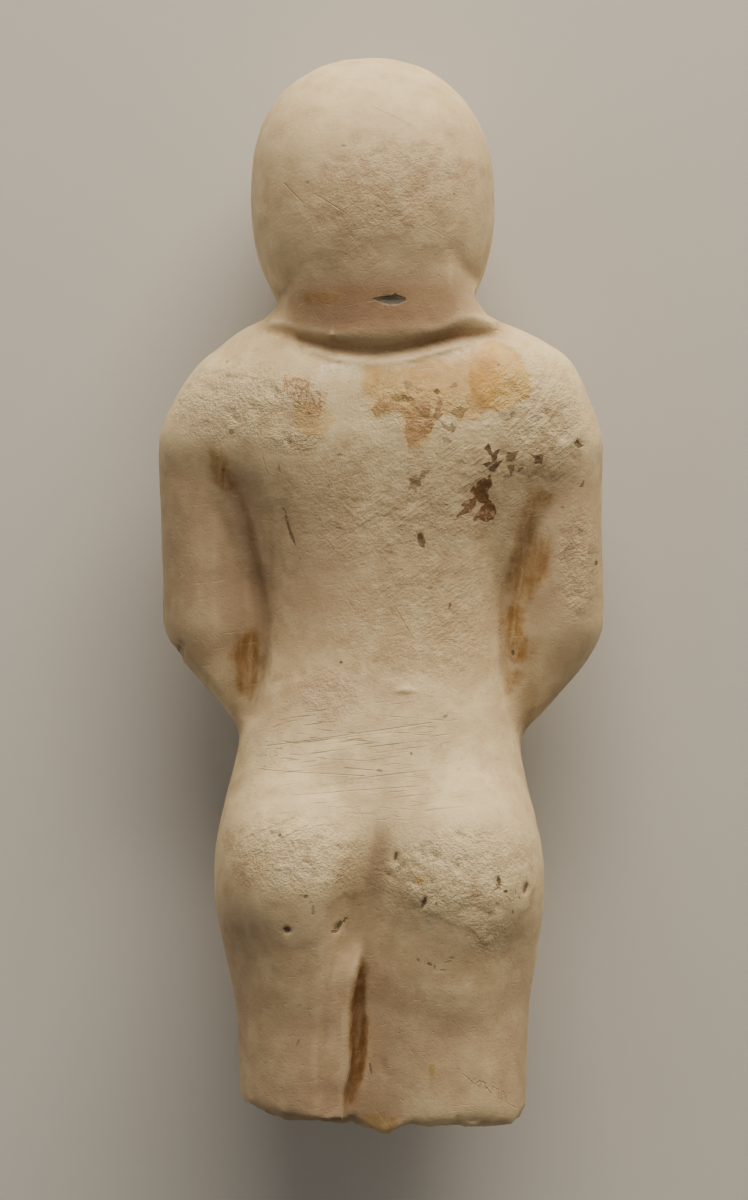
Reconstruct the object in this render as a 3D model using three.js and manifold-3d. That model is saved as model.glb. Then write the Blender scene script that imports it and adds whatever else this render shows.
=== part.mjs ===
// Offering bearer statuette: a stone figure in the round, broken off at the thighs, carved from one block.
// Millimetres. The figure lies on its front, as it does when loose: +Y runs to the crown, +Z is up and
// is the figure's back, and the origin is on the surface it lies on, under the middle of its box.
//
// The stone is described as a field that is negative inside and zero on the surface. Each form is a short
// function of the named sizes, and forms melt into one another with a named blend. The field is meshed,
// thinned where the stone is flat, and then laid down on its own points of contact.

import * as THREE from "three";
import Module from "manifold-3d";

// Driving sizes. Heights along the body are shares of the length; across the body they are millimetres.
const length = 200; // crown to the lowest splinter of the break
const headHalfWidth = 22.9;
const headBack = 22.6;
const headFront = 21.4;
const shoulderHalfWidth = 41.1;
const shoulderBack = 14.2;
const shoulderFront = 13.6;
const upperArmRadius = 7.7;
const elbowRadius = 6.9;
const wristRadius = 5;
const bowlHalfWidth = 15.5;
const bowlDepth = 11.5;
const buttockSize = 15.6;
const legHalfWidth = 13.8;
const collarRadius = 1.9;
const wearDepth = 0.35; // how much is rubbed flat where the figure lies

const at = (share) => share * length; // a height along the body

// Heights along the body.
const crown = at(1);
const hairline = at(0.934);
const brow = at(0.896);
const eyeLine = at(0.877);
const temple = at(0.868);
const noseTip = at(0.835);
const mouthLine = at(0.813);
const chin = at(0.772);
const collarSide = at(0.757);
const shoulderLine = at(0.65);
const armpit = at(0.625);
const elbow = at(0.478);
const wrist = at(0.391);
const bowlMiddle = at(0.358);
const buttockLine = at(0.232);

// Small sums that the forms share.
const clamp = (v, low, high) => Math.min(high, Math.max(low, v));
const mix = (a, b, t) => a + (b - a) * t;
const ease = (low, high, v) => {
  const t = clamp((v - low) / (high - low), 0, 1);
  return t * t * (3 - 2 * t);
};

// Two forms melted into one over the width of blend, and one form cut out of another.
function join(a, b, blend) {
  const near = Math.max(blend - Math.abs(a - b), 0) / blend;
  return Math.min(a, b) - (near * near * blend) / 4;
}
const carve = (a, tool, blend) => -join(-a, tool, blend);

// A smooth value along the body from [height share, value] stations, lowest first.
function along(stations) {
  return (y) => {
    const s = y / length;
    let i = 0;
    while (i < stations.length - 2 && s > stations[i + 1][0]) i++;
    const [s0, v0] = stations[i];
    const [s1, v1] = stations[i + 1];
    const slope = (j) => {
      const [a, b] = [Math.max(j - 1, 0), Math.min(j + 1, stations.length - 1)];
      return (stations[b][1] - stations[a][1]) / (stations[b][0] - stations[a][0]);
    };
    const t = clamp((s - s0) / (s1 - s0), 0, 1);
    const span = s1 - s0;
    const a = 2 * (v0 - v1) + (slope(i) + slope(i + 1)) * span;
    const b = 3 * (v1 - v0) - (2 * slope(i) + slope(i + 1)) * span;
    return ((a * t + b) * t + slope(i) * span) * t + v0;
  };
}

// An egg with a size of its own in each direction. square is 2 for a round egg, more for a boxy one.
function egg(x, y, z, [cx, cy, cz], { wide, up, down = up, back, front = back, square = 2 }) {
  const [dx, dy, dz] = [x - cx, y - cy, z - cz];
  const [rise, deep] = [dy > 0 ? up : down, dz > 0 ? back : front];
  const across = Math.abs(dx / wide) ** square + Math.abs(dz / deep) ** square;
  const reach = (across + Math.abs(dy / rise) ** square) ** (1 / square);
  return (reach - 1) * Math.min(wide, rise, deep);
}

// A form that only matters between two heights is not worked out elsewhere.
const far = 30;
const between = (y, low, high, form) => (y > low && y < high ? form() : far);

// A column of one section all the way up.
function column(x, z, wide, deep, square) {
  const reach = (Math.abs(x / wide) ** square + Math.abs(z / deep) ** square) ** (1 / square);
  return (reach - 1) * Math.min(wide, deep);
}

// A limb from one joint to the next, with a radius at each end. deep stretches it front to back.
function limb(x, y, z, [ax, ay, az], [bx, by, bz], ra, rb, deep = 1) {
  const [lx, ly, lz] = [bx - ax, by - ay, (bz - az) / deep];
  const [px, py, pz] = [x - ax, y - ay, (z - az) / deep];
  const t = clamp((px * lx + py * ly + pz * lz) / (lx * lx + ly * ly + lz * lz), 0, 1);
  return Math.hypot(px - lx * t, py - ly * t, pz - lz * t) - mix(ra, rb, t);
}

// The block drifts a little off a true centre line from head to thigh.
const lean = along([
  [0, 0.6],
  [0.12, 0.4],
  [0.28, -0.4],
  [0.4, 0.1],
  [0.5, 0.6],
  [0.65, 0],
  [0.7, 0.8],
  [0.73, 1],
  [0.76, -0.9],
  [0.87, -1.5],
  [1, -1.9],
]);

// Trunk, from the thighs to the nape: half width, and how far it reaches behind and in front.
const trunkWidth = along([
  [0, 24.3],
  [0.1, 25.6],
  [0.165, 28.7],
  [0.24, 29.8],
  [0.31, 28.1],
  [0.373, 25.2],
  [0.42, 22.9],
  [0.49, 21.7],
  [0.55, 23.2],
  [0.63, 28],
  [0.68, 29.4],
  [0.74, 20.4],
]);
const trunkBack = along([
  [0, 14],
  [0.1, 15],
  [0.17, 16.6],
  [0.25, 18.2],
  [0.35, 15.6],
  [0.43, 12.4],
  [0.5, 12.4],
  [0.6, 16],
  [0.67, 17.3],
  [0.71, 16.4],
  [0.74, 13.6],
]);
const trunkFront = along([
  [0, 15.5],
  [0.1, 16.2],
  [0.25, 17],
  [0.37, 16.8],
  [0.48, 15.4],
  [0.6, 16.4],
  [0.67, 15.6],
  [0.74, 10],
]);
const trunkSquare = 2.5;
const trunkTop = at(0.742);
const trunkTopRound = 5;

function trunk(x, y, z) {
  const deep = z > 0 ? trunkBack(y) : trunkFront(y);
  return carve(column(x, z, trunkWidth(y), deep, trunkSquare), trunkTop - y, trunkTopRound);
}

// Shoulders: a broad yoke with rounded corners, the back a little fuller.
function shoulders(x, y, z) {
  return egg(x, y, z, [0, shoulderLine, 0], {
    wide: shoulderHalfWidth - 2.1,
    up: at(0.11),
    down: at(0.06),
    back: shoulderBack,
    front: shoulderFront,
    square: 2.65,
  });
}

// Arms: they hang, bend at the elbow and slope down and forward to the bowl. The stone between arm and
// side was never cut through, so a web joins them.
const armX = shoulderHalfWidth - upperArmRadius - 0.2;
const armDepth = 1.12;
const shoulderJoint = [armX, armpit + 3, -1];
const elbowJoint = [armX - 0.1, elbow, -4.5];
const wristJoint = [bowlHalfWidth + 6, wrist, -16.5];
const webBlend = 5;
const webX = 28;
const webLift = 2.6; // the web stands higher where it meets the shoulder
const webOverhangLeft = 0.9; // and stops a little outside the forearm
const webOverhangRight = 2.5;

// How far a place lies outside the forearm's outer edge, seen from behind.
function pastForearm(side, y) {
  const [elbowX, elbowY] = elbowJoint;
  const [wristX, wristY] = wristJoint;
  const [runX, runY] = [elbowX - wristX, elbowY - wristY];
  const run = Math.hypot(runX, runY);
  const outside = ((side - elbowX) * runY - (y - elbowY) * runX) / run;
  const downTheArm = ((elbowX - side) * runX + (elbowY - y) * runY) / (run * run);
  return outside - mix(elbowRadius, wristRadius, clamp(downTheArm, 0, 1));
}

function arm(x, y, z) {
  const side = Math.abs(x);
  const overhang = x < 0 ? webOverhangLeft : webOverhangRight;
  const upper = limb(
    side, y, z, shoulderJoint, elbowJoint, upperArmRadius, elbowRadius, armDepth,
  );
  const fore = limb(side, y, z, elbowJoint, wristJoint, elbowRadius, wristRadius);
  const webZ = webLift * ease(at(0.49), at(0.62), y) - 5;
  const web = egg(side, y, z, [webX, at(0.52), webZ], {
    wide: 11.3,
    up: at(0.14),
    down: at(0.145),
    back: 9,
    front: 5,
    square: 2.3,
  });
  const trimmed = carve(web, overhang - pastForearm(side, y), 1.5);
  return join(join(upper, fore, 2.5), trimmed, webBlend);
}

// The offering: a round-bellied bowl held low against the belly, full to just over its rim.
const bowlFront = -(16 + bowlDepth);
const bowlCentreZ = bowlFront + bowlDepth;
const bowlUp = at(0.048);
const bowlDown = at(0.052);

function bowl(x, y, z) {
  const belly = egg(x, y, z, [0, bowlMiddle, bowlCentreZ], {
    wide: bowlHalfWidth,
    up: bowlUp,
    down: bowlDown,
    back: bowlDepth,
    square: 2.3,
  });
  const rimY = bowlMiddle + bowlUp * 0.82;
  const rimSize = { wide: bowlHalfWidth * 0.86, back: bowlDepth * 0.86 };
  const rim = egg(x, y, z, [0, rimY, bowlCentreZ], { ...rimSize, up: 2.6, square: 3 });
  const fill = egg(x, y, z, [0, rimY + 1.6, bowlCentreZ], {
    wide: rimSize.wide * 0.86,
    back: rimSize.back * 0.86,
    up: 3.4,
  });
  return join(join(belly, rim, 1.2), fill, 0.6);
}

// A hand laid along the bowl: palm, four fingers side by side and a thumb on the rim.
const fingerRadius = 1.75;
const fingers = 4;

function hand(side, y, z) {
  const palmEnd = [bowlHalfWidth * 0.86, bowlMiddle + 1.5, bowlFront + 3.5];
  let shape = limb(side, y, z, wristJoint, palmEnd, wristRadius - 0.4, 4.6);
  for (let i = 0; i < fingers; i++) {
    const drop = (i - (fingers - 1) / 2) * fingerRadius * 1.55;
    const knuckle = [palmEnd[0] - i * 0.5, palmEnd[1] - drop, palmEnd[2] - 2.7];
    const tip = [4.2 + i * 0.4, bowlMiddle - 3.4 - drop * 0.95, bowlFront + 0.5];
    shape = join(shape, limb(side, y, z, knuckle, tip, fingerRadius, fingerRadius * 0.85), 0.5);
  }
  const thumbTip = [bowlHalfWidth * 0.42, bowlMiddle + bowlUp * 0.78, bowlFront + 1.4];
  const thumbRoot = [palmEnd[0] + 1.5, palmEnd[1] + 2.2, palmEnd[2]];
  return join(shape, limb(side, y, z, thumbRoot, thumbTip, 2.5, 1.8), 1.2);
}

// Seat and legs. The valley between the legs is a broad one, worn soft: its bottom drifts to the left on
// the way down, so its left wall gets steep and its right wall long.
const buttockX = legHalfWidth + 0.4;

function seat(side, y, z) {
  return egg(side, y, z, [buttockX, buttockLine, 6.4], {
    wide: buttockSize,
    up: at(0.115),
    down: at(0.068),
    back: buttockSize,
    square: 2.1,
  });
}

function leg(side, y, z) {
  const narrow = ease(at(0.25), at(-0.05), y);
  const deep = z > 0 ? mix(17, 15.2, narrow) : mix(17.5, 16, narrow);
  const shaft = column(side - legHalfWidth * 0.9, z, legHalfWidth, deep, 2.4);
  return carve(shaft, at(0.3) - y, 8);
}

const valleyBottom = along([
  [0, -3.6],
  [0.04, -5.4],
  [0.08, -5.8],
  [0.15, -4.4],
  [0.22, -2.1],
  [0.27, -0.6],
  [0.33, 0.2],
]);

function valley(x, y, z) {
  const deepest = z > 0 ? trunkBack(y) + 3.4 : -trunkFront(y) - 2.4;
  const opened = ease(at(0.33), at(0.19), y);
  const drift = z > 0 ? valleyBottom(y) : 0.3;
  const skew = z > 0 ? ease(0, -6, drift) : 0;
  const wallLength = x < drift ? mix(1.1, 0.72, skew) : mix(1.1, 1.6, skew);
  const cut = Math.hypot((x - drift) / wallLength, z - deepest);
  return cut - mix(0.5, z > 0 ? 6.2 : 3.4, opened);
}

// The collar hangs lower at the nape and over the chest than at the sides, and a little lower on the left.
const collarWide = 18;
const collarBack = 16.6;
const collarFront = 13.6;
const napeDrop = 4.2;
const chestDrop = 6.5;
const collarTilt = 0.06;
const collarSquare = 2.45;

function collarHeight(x, z) {
  const [deep, drop] = z > 0 ? [collarBack, napeDrop] : [collarFront, chestDrop];
  const level = collarSide - drop * clamp(z / deep, -1, 1) ** 2;
  return level + collarTilt * x * ease(-3, 6, z);
}

function ring(x, y, z, below, grow, radius) {
  const deep = (z > 0 ? collarBack : collarFront) + grow;
  const across = Math.abs(x / (collarWide + grow)) ** collarSquare;
  const away = ((across + Math.abs(z / deep) ** collarSquare) ** (1 / collarSquare) - 1) * deep;
  return Math.hypot(away, y - collarHeight(x, z) + below) - radius;
}

const collar = (x, y, z) => ring(x, y, z, 0, 0, collarRadius);

function collarGroove(x, y, z) {
  const atBack = ease(-0.2, 0.9, z / collarBack);
  return ring(x, y, z, collarRadius * 1.75, 0.6, mix(-1.4, 1.2, atBack));
}

// Head: a smooth close cap that covers the ears, ends on the rolled collar and frames the face.
const capEdge = 1.5; // how far the cap stands proud of the brow

function head(x, y, z) {
  const under = ease(0, -12, z) * ease(19, 11, Math.abs(x));
  const shape = egg(x, y, z, [0, temple, 0], {
    wide: headHalfWidth,
    up: crown - temple,
    down: mix(at(0.14), at(0.112), under),
    back: headBack,
    front: headFront,
    square: 2.3,
  });
  const rim = y > faceMiddle ? hairline - faceMiddle : faceMiddle - chin + 14;
  const window = column(x, y - faceMiddle, faceHalfWidth, rim, 2.5);
  const capped = carve(shape, Math.max(window, z + 7, -shape - capEdge), 1.8);
  return carve(capped, y - collarHeight(x, z), 1);
}

const neckWide = 17.6;
const neckBack = 14.8;
const neckFront = 12;

function neck(x, y, z) {
  const deep = z > 0 ? neckBack : neckFront;
  const shaft = (Math.hypot(x / neckWide, z / deep) - 1) * deep;
  return carve(carve(shaft, temple - y, 1), y - armpit, 1);
}

// Face: plain and calm, on even proportions, framed by the edge of the cap.
const faceMiddle = at(0.85);
const faceHalfWidth = headHalfWidth * 0.69;
const faceZ = -headFront - 0.3;
const eyeX = faceHalfWidth * 0.43;

function face(x, side, y, z) {
  const oval = egg(x, y, z, [0, faceMiddle - 1, faceZ + 15], {
    wide: faceHalfWidth * 0.9,
    up: hairline - faceMiddle - 1,
    down: faceMiddle - chin - 1,
    back: 10,
    front: 15,
    square: 2.2,
  });
  const jaw = egg(x, y, z, [0, chin + 4.6, faceZ + 5.2], {
    wide: 7.4,
    up: 6,
    down: 4.4,
    back: 8,
    front: 5.4,
  });
  const cheek = egg(side, y, z, [eyeX + 1, noseTip + 1.4, faceZ + 6], { wide: 5, up: 5.6, back: 5.6 });
  const mass = join(join(oval, jaw, 4), cheek, 3.5);
  const socket = egg(side, y, z, [eyeX, eyeLine + 0.4, faceZ - 1.2], { wide: 5.6, up: 3.3, back: 3.5 });
  const eye = egg(side, y, z, [eyeX, eyeLine - 0.1, faceZ + 3.1], {
    wide: 4.3,
    up: 1.9,
    back: 2.3,
    square: 1.8,
  });
  const bridge = limb(x, y, z, [0, brow - 1.2, faceZ + 1], [0, noseTip + 1, faceZ - 1.4], 1.5, 2);
  const wing = egg(side, y, z, [2.2, noseTip + 0.2, faceZ - 0.4], { wide: 1.7, up: 1.6, back: 1.9 });
  const upperLip = egg(x, y, z, [0, mouthLine + 1.3, faceZ + 0.7], { wide: 4.7, up: 1.7, back: 2 });
  const lowerLip = egg(x, y, z, [0, mouthLine - 1.6, faceZ + 0.8], { wide: 4, up: 1.9, back: 2.2 });
  return { mass, socket, eye, nose: join(bridge, wing, 0.8), lips: join(upperLip, lowerLip, 0.3) };
}

function headWithFace(x, side, y, z) {
  const { mass, socket, eye, nose, lips } = face(x, side, y, z);
  let shape = join(head(x, y, z), mass, 1.5);
  shape = carve(shape, socket, 1.6);
  shape = join(shape, eye, 0.4);
  shape = join(shape, nose, 1.1);
  return join(shape, lips, 0.9);
}

// Where the stone snapped: a slightly sloping face with a lip left at the back, and the left corner gone.
const breakFlat = at(0.011); // height of the level part of the break
const breakTilt = 0.035;

function broken(x, y, z) {
  const leftCorner = 3.3 * ease(-17, -29, x) + 1.2 * ease(2, -16, x);
  const rightCorner = 3.2 * ease(22, 30, x);
  const splinter = 2.2 * Math.exp(-(((x + 0.3) / 3.6) ** 2) - ((z - 12) / 5) ** 2);
  const waves = 0.5 * Math.sin(x * 0.31 + 1.3) * Math.cos(z * 0.37);
  const outside = ease(6.5, 12, Math.hypot(x - 1, z + 2));
  const slope = breakTilt * (z + 2) * outside;
  return breakFlat + (leftCorner + rightCorner + waves + slope) * outside - splinter - y;
}

// The whole figure.
function figure(px, y, z) {
  const x = px - lean(y);
  const side = Math.abs(x);
  let body = between(y, -far, at(0.84), () => {
    const core = join(trunk(x, y, z), shoulders(x, y, z), 6);
    return join(core, arm(x, y, z), 3);
  });
  const lower = between(y, -far, at(0.38), () => join(leg(side, y, z), seat(side, y, z), 5));
  body = join(body, lower, 3);
  body = carve(body, valley(x, y, z), 3.5);
  const offering = between(y, at(0.22), at(0.5), () => join(bowl(x, y, z), hand(side, y, z), 0.8));
  body = join(body, offering, 1.2);
  body = join(body, between(y, at(0.6), at(0.9), () => neck(x, y, z)), 2);
  body = carve(body, collarGroove(x, y, z), 2);
  const top = between(y, at(0.66), 2 * length, () => headWithFace(x, side, y, z));
  body = join(body, join(top, collar(x, y, z), 1.8), 0.7);
  return Math.max(body, broken(x, y, z));
}

// Meshing: space round the figure is cut into small cubes, each cube into six tetrahedra, and the surface
// crosses each tetrahedron in one or two triangles, so it always closes.
const cell = 1.8;
const fineCell = 1.05; // where the face and the hands are
const margin = 3;
const tetrahedra = [
  [1, 3],
  [3, 2],
  [2, 6],
  [6, 4],
  [4, 5],
  [5, 1],
];

function gridLines(low, high, isFine) {
  const lines = [low];
  while (lines.at(-1) < high) lines.push(lines.at(-1) + (isFine(lines.at(-1)) ? fineCell : cell));
  return lines;
}

function meshOf(field) {
  const across = shoulderHalfWidth + margin;
  const handHeights = [bowlMiddle - bowlDown - 2, bowlMiddle + bowlUp + 3];
  const faceHeights = [collarSide - napeDrop - 6, hairline + 2];
  const within = (v, [low, high]) => v > low && v < high;
  const nearMiddle = (x) => Math.abs(x) < bowlHalfWidth + 2;
  const atFaceOrHands = (y) => within(y, handHeights) || within(y, faceHeights);
  const inFront = (z) => z < bowlFront + 12.5;
  const xs = gridLines(-across, across, nearMiddle);
  const ys = gridLines(-margin, length + margin, atFaceOrHands);
  const zs = gridLines(bowlFront - 2 * margin, headBack + 2 * margin, inFront);
  const [nx, ny, nz] = [xs.length, ys.length, zs.length];
  const place = (n) => [xs[n % nx], ys[Math.floor(n / nx) % ny], zs[Math.floor(n / (nx * ny))]];
  const values = new Float64Array(nx * ny * nz).fill(far);
  const block = 4;
  for (let k = 0; k < nz; k += block) {
    for (let j = 0; j < ny; j += block) {
      for (let i = 0; i < nx; i += block) {
        const rough = field(...place(i + nx * (j + ny * k)));
        for (let c = k; c < Math.min(k + block, nz); c++) {
          for (let b = j; b < Math.min(j + block, ny); b++) {
            for (let a = i; a < Math.min(i + block, nx); a++) {
              const n = a + nx * (b + ny * c);
              values[n] = Math.abs(rough) > 2 * cell * block ? rough : field(...place(n)) || 1e-9;
            }
          }
        }
      }
    }
  }
  const step = (corner) => (corner & 1) + (corner & 2 ? nx : 0) + (corner & 4 ? nx * ny : 0);

  const points = [];
  const known = new Map();
  function crossing(a, b) {
    const key = Math.min(a, b) * values.length + Math.max(a, b);
    if (!known.has(key)) {
      const t = clamp(values[a] / (values[a] - values[b]), 0.05, 0.95);
      const [pa, pb] = [place(a), place(b)];
      known.set(key, points.push(new THREE.Vector3(...pa.map((v, i) => mix(v, pb[i], t)))) - 1);
    }
    return known.get(key);
  }

  const triangles = [];
  const normal = new THREE.Vector3();
  function addTetrahedron(corners) {
    const inside = corners.filter((n) => values[n] < 0);
    const outside = corners.filter((n) => values[n] >= 0);
    if (!inside.length || !outside.length) return;
    const pairs =
      inside.length === 2
        ? [[0, 0], [0, 1], [1, 1], [1, 0]]
        : inside.length === 1
          ? [[0, 0], [0, 1], [0, 2]]
          : [[0, 0], [1, 0], [2, 0]];
    const rim = pairs.map(([i, o]) => crossing(inside[i], outside[o]));
    const [a, b, c] = rim.map((i) => points[i]);
    const out = new THREE.Vector3(...place(outside[0])).sub(new THREE.Vector3(...place(inside[0])));
    normal.crossVectors(b.clone().sub(a), c.clone().sub(a));
    if (normal.dot(out) < 0) rim.reverse();
    for (let i = 1; i + 1 < rim.length; i++) triangles.push([rim[0], rim[i], rim[i + 1]]);
  }
  for (let k = 0; k + 1 < nz; k++)
    for (let j = 0; j + 1 < ny; j++)
      for (let i = 0; i + 1 < nx; i++) {
        const base = i + nx * (j + ny * k);
        if (Math.abs(values[base]) > 4 * cell) continue;
        for (const [a, b] of tetrahedra)
          addTetrahedron([base, base + step(a), base + step(b), base + step(7)]);
      }
  return { points, triangles };
}

// Each point is evened out among its neighbours and then set back on the surface.
function settle(field, { points, triangles }, rounds, evenness) {
  const nudge = 0.03;
  const slope = new THREE.Vector3();
  for (let round = 0; round < rounds; round++) {
    const sums = points.map(() => new THREE.Vector3());
    const counts = new Uint16Array(points.length);
    for (const corners of triangles) {
      corners.forEach((v, i) => {
        sums[v].add(points[corners[(i + 1) % 3]]);
        counts[v]++;
      });
    }
    points.forEach((p, i) => {
      if (!counts[i]) return;
      p.lerp(sums[i].divideScalar(counts[i]), evenness);
      const { x, y, z } = p;
      const here = field(x, y, z);
      slope.set(field(x + nudge, y, z), field(x, y + nudge, z), field(x, y, z + nudge));
      slope.subScalar(here).divideScalar(nudge);
      p.addScaledVector(slope, clamp(-here / Math.max(slope.lengthSq(), 0.1), -0.3 * cell, 0.3 * cell));
    });
  }
  return { points, triangles };
}

// Thinning: an edge shrinks to a point wherever that moves the surface least. Each point carries the
// squared distance to the planes of all the faces it has come to stand for.
const trianglesKept = 9300;
const faceCare = 7; // how much more finely the face and hands are kept

class PlaneSum {
  constructor() {
    this.m = new Float64Array(10);
  }

  addPlane(a, b, c, care) {
    const n = new THREE.Vector3().crossVectors(b.clone().sub(a), c.clone().sub(a));
    const weight = (n.length() / 2) * care;
    n.normalize();
    const v = [n.x, n.y, n.z, -n.dot(a)];
    let k = 0;
    for (let i = 0; i < 4; i++) {
      for (let j = i; j < 4; j++) {
        this.m[k++] += weight * v[i] * v[j];
      }
    }
  }

  with(other) {
    const sum = new PlaneSum();
    for (let i = 0; i < 10; i++) sum.m[i] = this.m[i] + other.m[i];
    return sum;
  }

  at({ x, y, z }) {
    const [xx, xy, xz, xw, yy, yz, yw, zz, zw, ww] = this.m;
    const squares = xx * x * x + yy * y * y + zz * z * z + ww;
    return squares + 2 * (xy * x * y + xz * x * z + yz * y * z + xw * x + yw * y + zw * z);
  }

  // The point nearest to all the planes at once, or null where they leave it loose.
  nearest() {
    const [xx, xy, xz, xw, yy, yz, yw, zz, zw] = this.m;
    const grid = new THREE.Matrix3().set(xx, xy, xz, xy, yy, yz, xz, yz, zz);
    const size = (xx + yy + zz) / 3;
    if (Math.abs(grid.determinant()) < 2e-4 * size ** 3) return null;
    return new THREE.Vector3(-xw, -yw, -zw).applyMatrix3(grid.invert());
  }
}

// A queue that gives back its cheapest entry first.
class Queue {
  constructor() {
    this.list = [];
  }

  push(entry) {
    const { list } = this;
    let i = list.push(entry) - 1;
    while (i > 0) {
      const up = (i - 1) >> 1;
      if (list[up].cost <= list[i].cost) break;
      [list[up], list[i]] = [list[i], list[up]];
      i = up;
    }
  }

  pop() {
    const { list } = this;
    const first = list[0];
    const last = list.pop();
    if (!list.length) return first;
    list[0] = last;
    for (let i = 0; ; ) {
      const [left, right] = [2 * i + 1, 2 * i + 2];
      let least = i;
      if (left < list.length && list[left].cost < list[least].cost) least = left;
      if (right < list.length && list[right].cost < list[least].cost) least = right;
      if (least === i) return first;
      [list[least], list[i]] = [list[i], list[least]];
      i = least;
    }
  }
}

function thin({ points, triangles }, care, kept) {
  const faces = triangles.map((corners) => corners.slice());
  const facesAt = points.map(() => new Set());
  const sums = points.map(() => new PlaneSum());
  const age = new Uint32Array(points.length);
  faces.forEach((corners, f) => {
    const [a, b, c] = corners.map((v) => points[v]);
    for (const v of corners) {
      facesAt[v].add(f);
      sums[v].addPlane(a, b, c, care(points[v]));
    }
  });
  const neighbours = (v) => {
    const found = new Set();
    for (const f of facesAt[v]) for (const w of faces[f]) found.add(w);
    found.delete(v);
    return found;
  };

  const queue = new Queue();
  function offer(a, b) {
    const sum = sums[a].with(sums[b]);
    const middle = points[a].clone().lerp(points[b], 0.5);
    const span = points[a].distanceTo(points[b]);
    const best = sum.nearest();
    const place = best && best.distanceTo(middle) < span ? best : middle;
    const cost = Math.max(sum.at(place), 0) + 1e-5 * span * span;
    queue.push({ a, b, place, cost, age: age[a] + age[b] });
  }
  for (let v = 0; v < points.length; v++) for (const w of neighbours(v)) if (v < w) offer(v, w);

  // A face may turn a little as its corner moves, but never fold over or become a sliver.
  const [before, after] = [new THREE.Vector3(), new THREE.Vector3()];
  const [p, q, r] = [new THREE.Vector3(), new THREE.Vector3(), new THREE.Vector3()];
  function folds(v, other, place) {
    for (const f of facesAt[v]) {
      const corners = faces[f];
      if (corners.includes(other)) continue;
      const [a, b, c] = corners.map((w) => points[w]);
      before.crossVectors(p.subVectors(b, a), q.subVectors(c, a)).normalize();
      const [d, e, g] = corners.map((w) => (w === v ? place : points[w]));
      after.crossVectors(p.subVectors(e, d), q.subVectors(g, d));
      r.subVectors(g, e);
      const longest = Math.max(p.lengthSq(), q.lengthSq(), r.lengthSq());
      if (after.length() < 0.12 * longest) return true;
      if (before.dot(after.normalize()) < 0.25) return true;
    }
    return false;
  }

  let count = faces.length;
  while (count > kept && queue.list.length) {
    const { a, b, place, age: then } = queue.pop();
    if (age[a] + age[b] !== then || !facesAt[a].size || !facesAt[b].size) continue;
    const around = neighbours(a);
    if (!around.has(b)) continue;
    const shared = [...neighbours(b)].filter((v) => around.has(v));
    if (shared.length !== 2 || folds(a, b, place) || folds(b, a, place)) continue;
    for (const f of [...facesAt[b]]) {
      const corners = faces[f];
      if (corners.includes(a)) {
        for (const v of corners) facesAt[v].delete(f);
        faces[f] = null;
        count--;
      } else {
        corners[corners.indexOf(b)] = a;
        facesAt[a].add(f);
      }
    }
    facesAt[b].clear();
    points[a].copy(place);
    sums[a] = sums[a].with(sums[b]);
    age[a]++;
    age[b]++;
    for (const v of neighbours(a)) offer(a, v);
  }
  return { points, triangles: faces.filter((corners) => corners) };
}

// The middle of the stone's weight, from the tetrahedra its faces make with the origin.
function middleOf({ points, triangles }) {
  const sum = new THREE.Vector3();
  let volume = 0;
  for (const corners of triangles) {
    const [a, b, c] = corners.map((v) => points[v]);
    const part = a.dot(b.clone().cross(c)) / 6;
    volume += part;
    sum.addScaledVector(a.clone().add(b).add(c), part / 4);
  }
  return sum.divideScalar(volume);
}

// Laying down: seen from the side, the figure rests on the edge of its outline that spans the middle of
// its weight, from the bowl to the face. It is turned until that edge is level.
function layDown(shape) {
  const outline = [];
  for (const p of [...shape.points].sort((a, b) => a.y - b.y || a.z - b.z)) {
    while (outline.length > 1) {
      const [a, b] = outline.slice(-2);
      if ((b.y - a.y) * (p.z - a.z) - (b.z - a.z) * (p.y - a.y) > 0) break;
      outline.pop();
    }
    outline.push(p);
  }
  const middle = middleOf(shape);
  const i = outline.findIndex((p) => p.y > middle.y);
  const [low, high] = [outline[i - 1], outline[i]];
  const turn = new THREE.Matrix4().makeRotationX(-Math.atan2(high.z - low.z, high.y - low.y));
  for (const p of shape.points) p.applyMatrix4(turn);
  return shape;
}

function boxOf({ points, triangles }) {
  const box = new THREE.Box3();
  for (const corners of triangles) for (const v of corners) box.expandByPoint(points[v]);
  return box;
}

const detail = (p) => {
  const onFace = ease(at(0.74), at(0.8), p.y) * ease(-4, -12, p.z);
  const onHands = ease(at(0.26), at(0.3), p.y) * ease(at(0.44), at(0.4), p.y) * ease(-12, -18, p.z);
  const hidden = ease(4, -8, p.z);
  return mix(1, 0.55, hidden) + faceCare * Math.max(onFace, onHands);
};

let stone = settle(figure, meshOf(figure), 1, 0.5);
stone = settle(figure, thin(stone, detail, trianglesKept), 2, 0.12);
stone = layDown(stone);

const box = boxOf(stone);
const lift = -box.min.z - wearDepth;
const middleX = (box.min.x + box.max.x) / 2;
const middleY = (box.min.y + box.max.y) / 2;
for (const p of new Set(stone.triangles.flat().map((v) => stone.points[v]))) {
  p.set(p.x - middleX, p.y - middleY, p.z + lift);
}

// The spots it lies on are worn flat: everything under the surface it rests on is cut away.
const manifold = await Module();
manifold.setup();

function solidOf(geometry) {
  const mesh = new manifold.Mesh({
    numProp: 3,
    vertProperties: Float32Array.from(geometry.attributes.position.array),
    triVerts: Uint32Array.from(geometry.index.array),
  });
  mesh.merge();
  return new manifold.Manifold(mesh);
}

function geometryOf(solid) {
  const mesh = solid.getMesh();
  const corners = [];
  for (const v of mesh.triVerts) {
    const start = v * mesh.numProp;
    corners.push(...mesh.vertProperties.slice(start, start + 3));
  }
  const geometry = new THREE.BufferGeometry();
  geometry.setAttribute("position", new THREE.Float32BufferAttribute(corners, 3));
  geometry.computeVertexNormals();
  return geometry;
}

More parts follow.
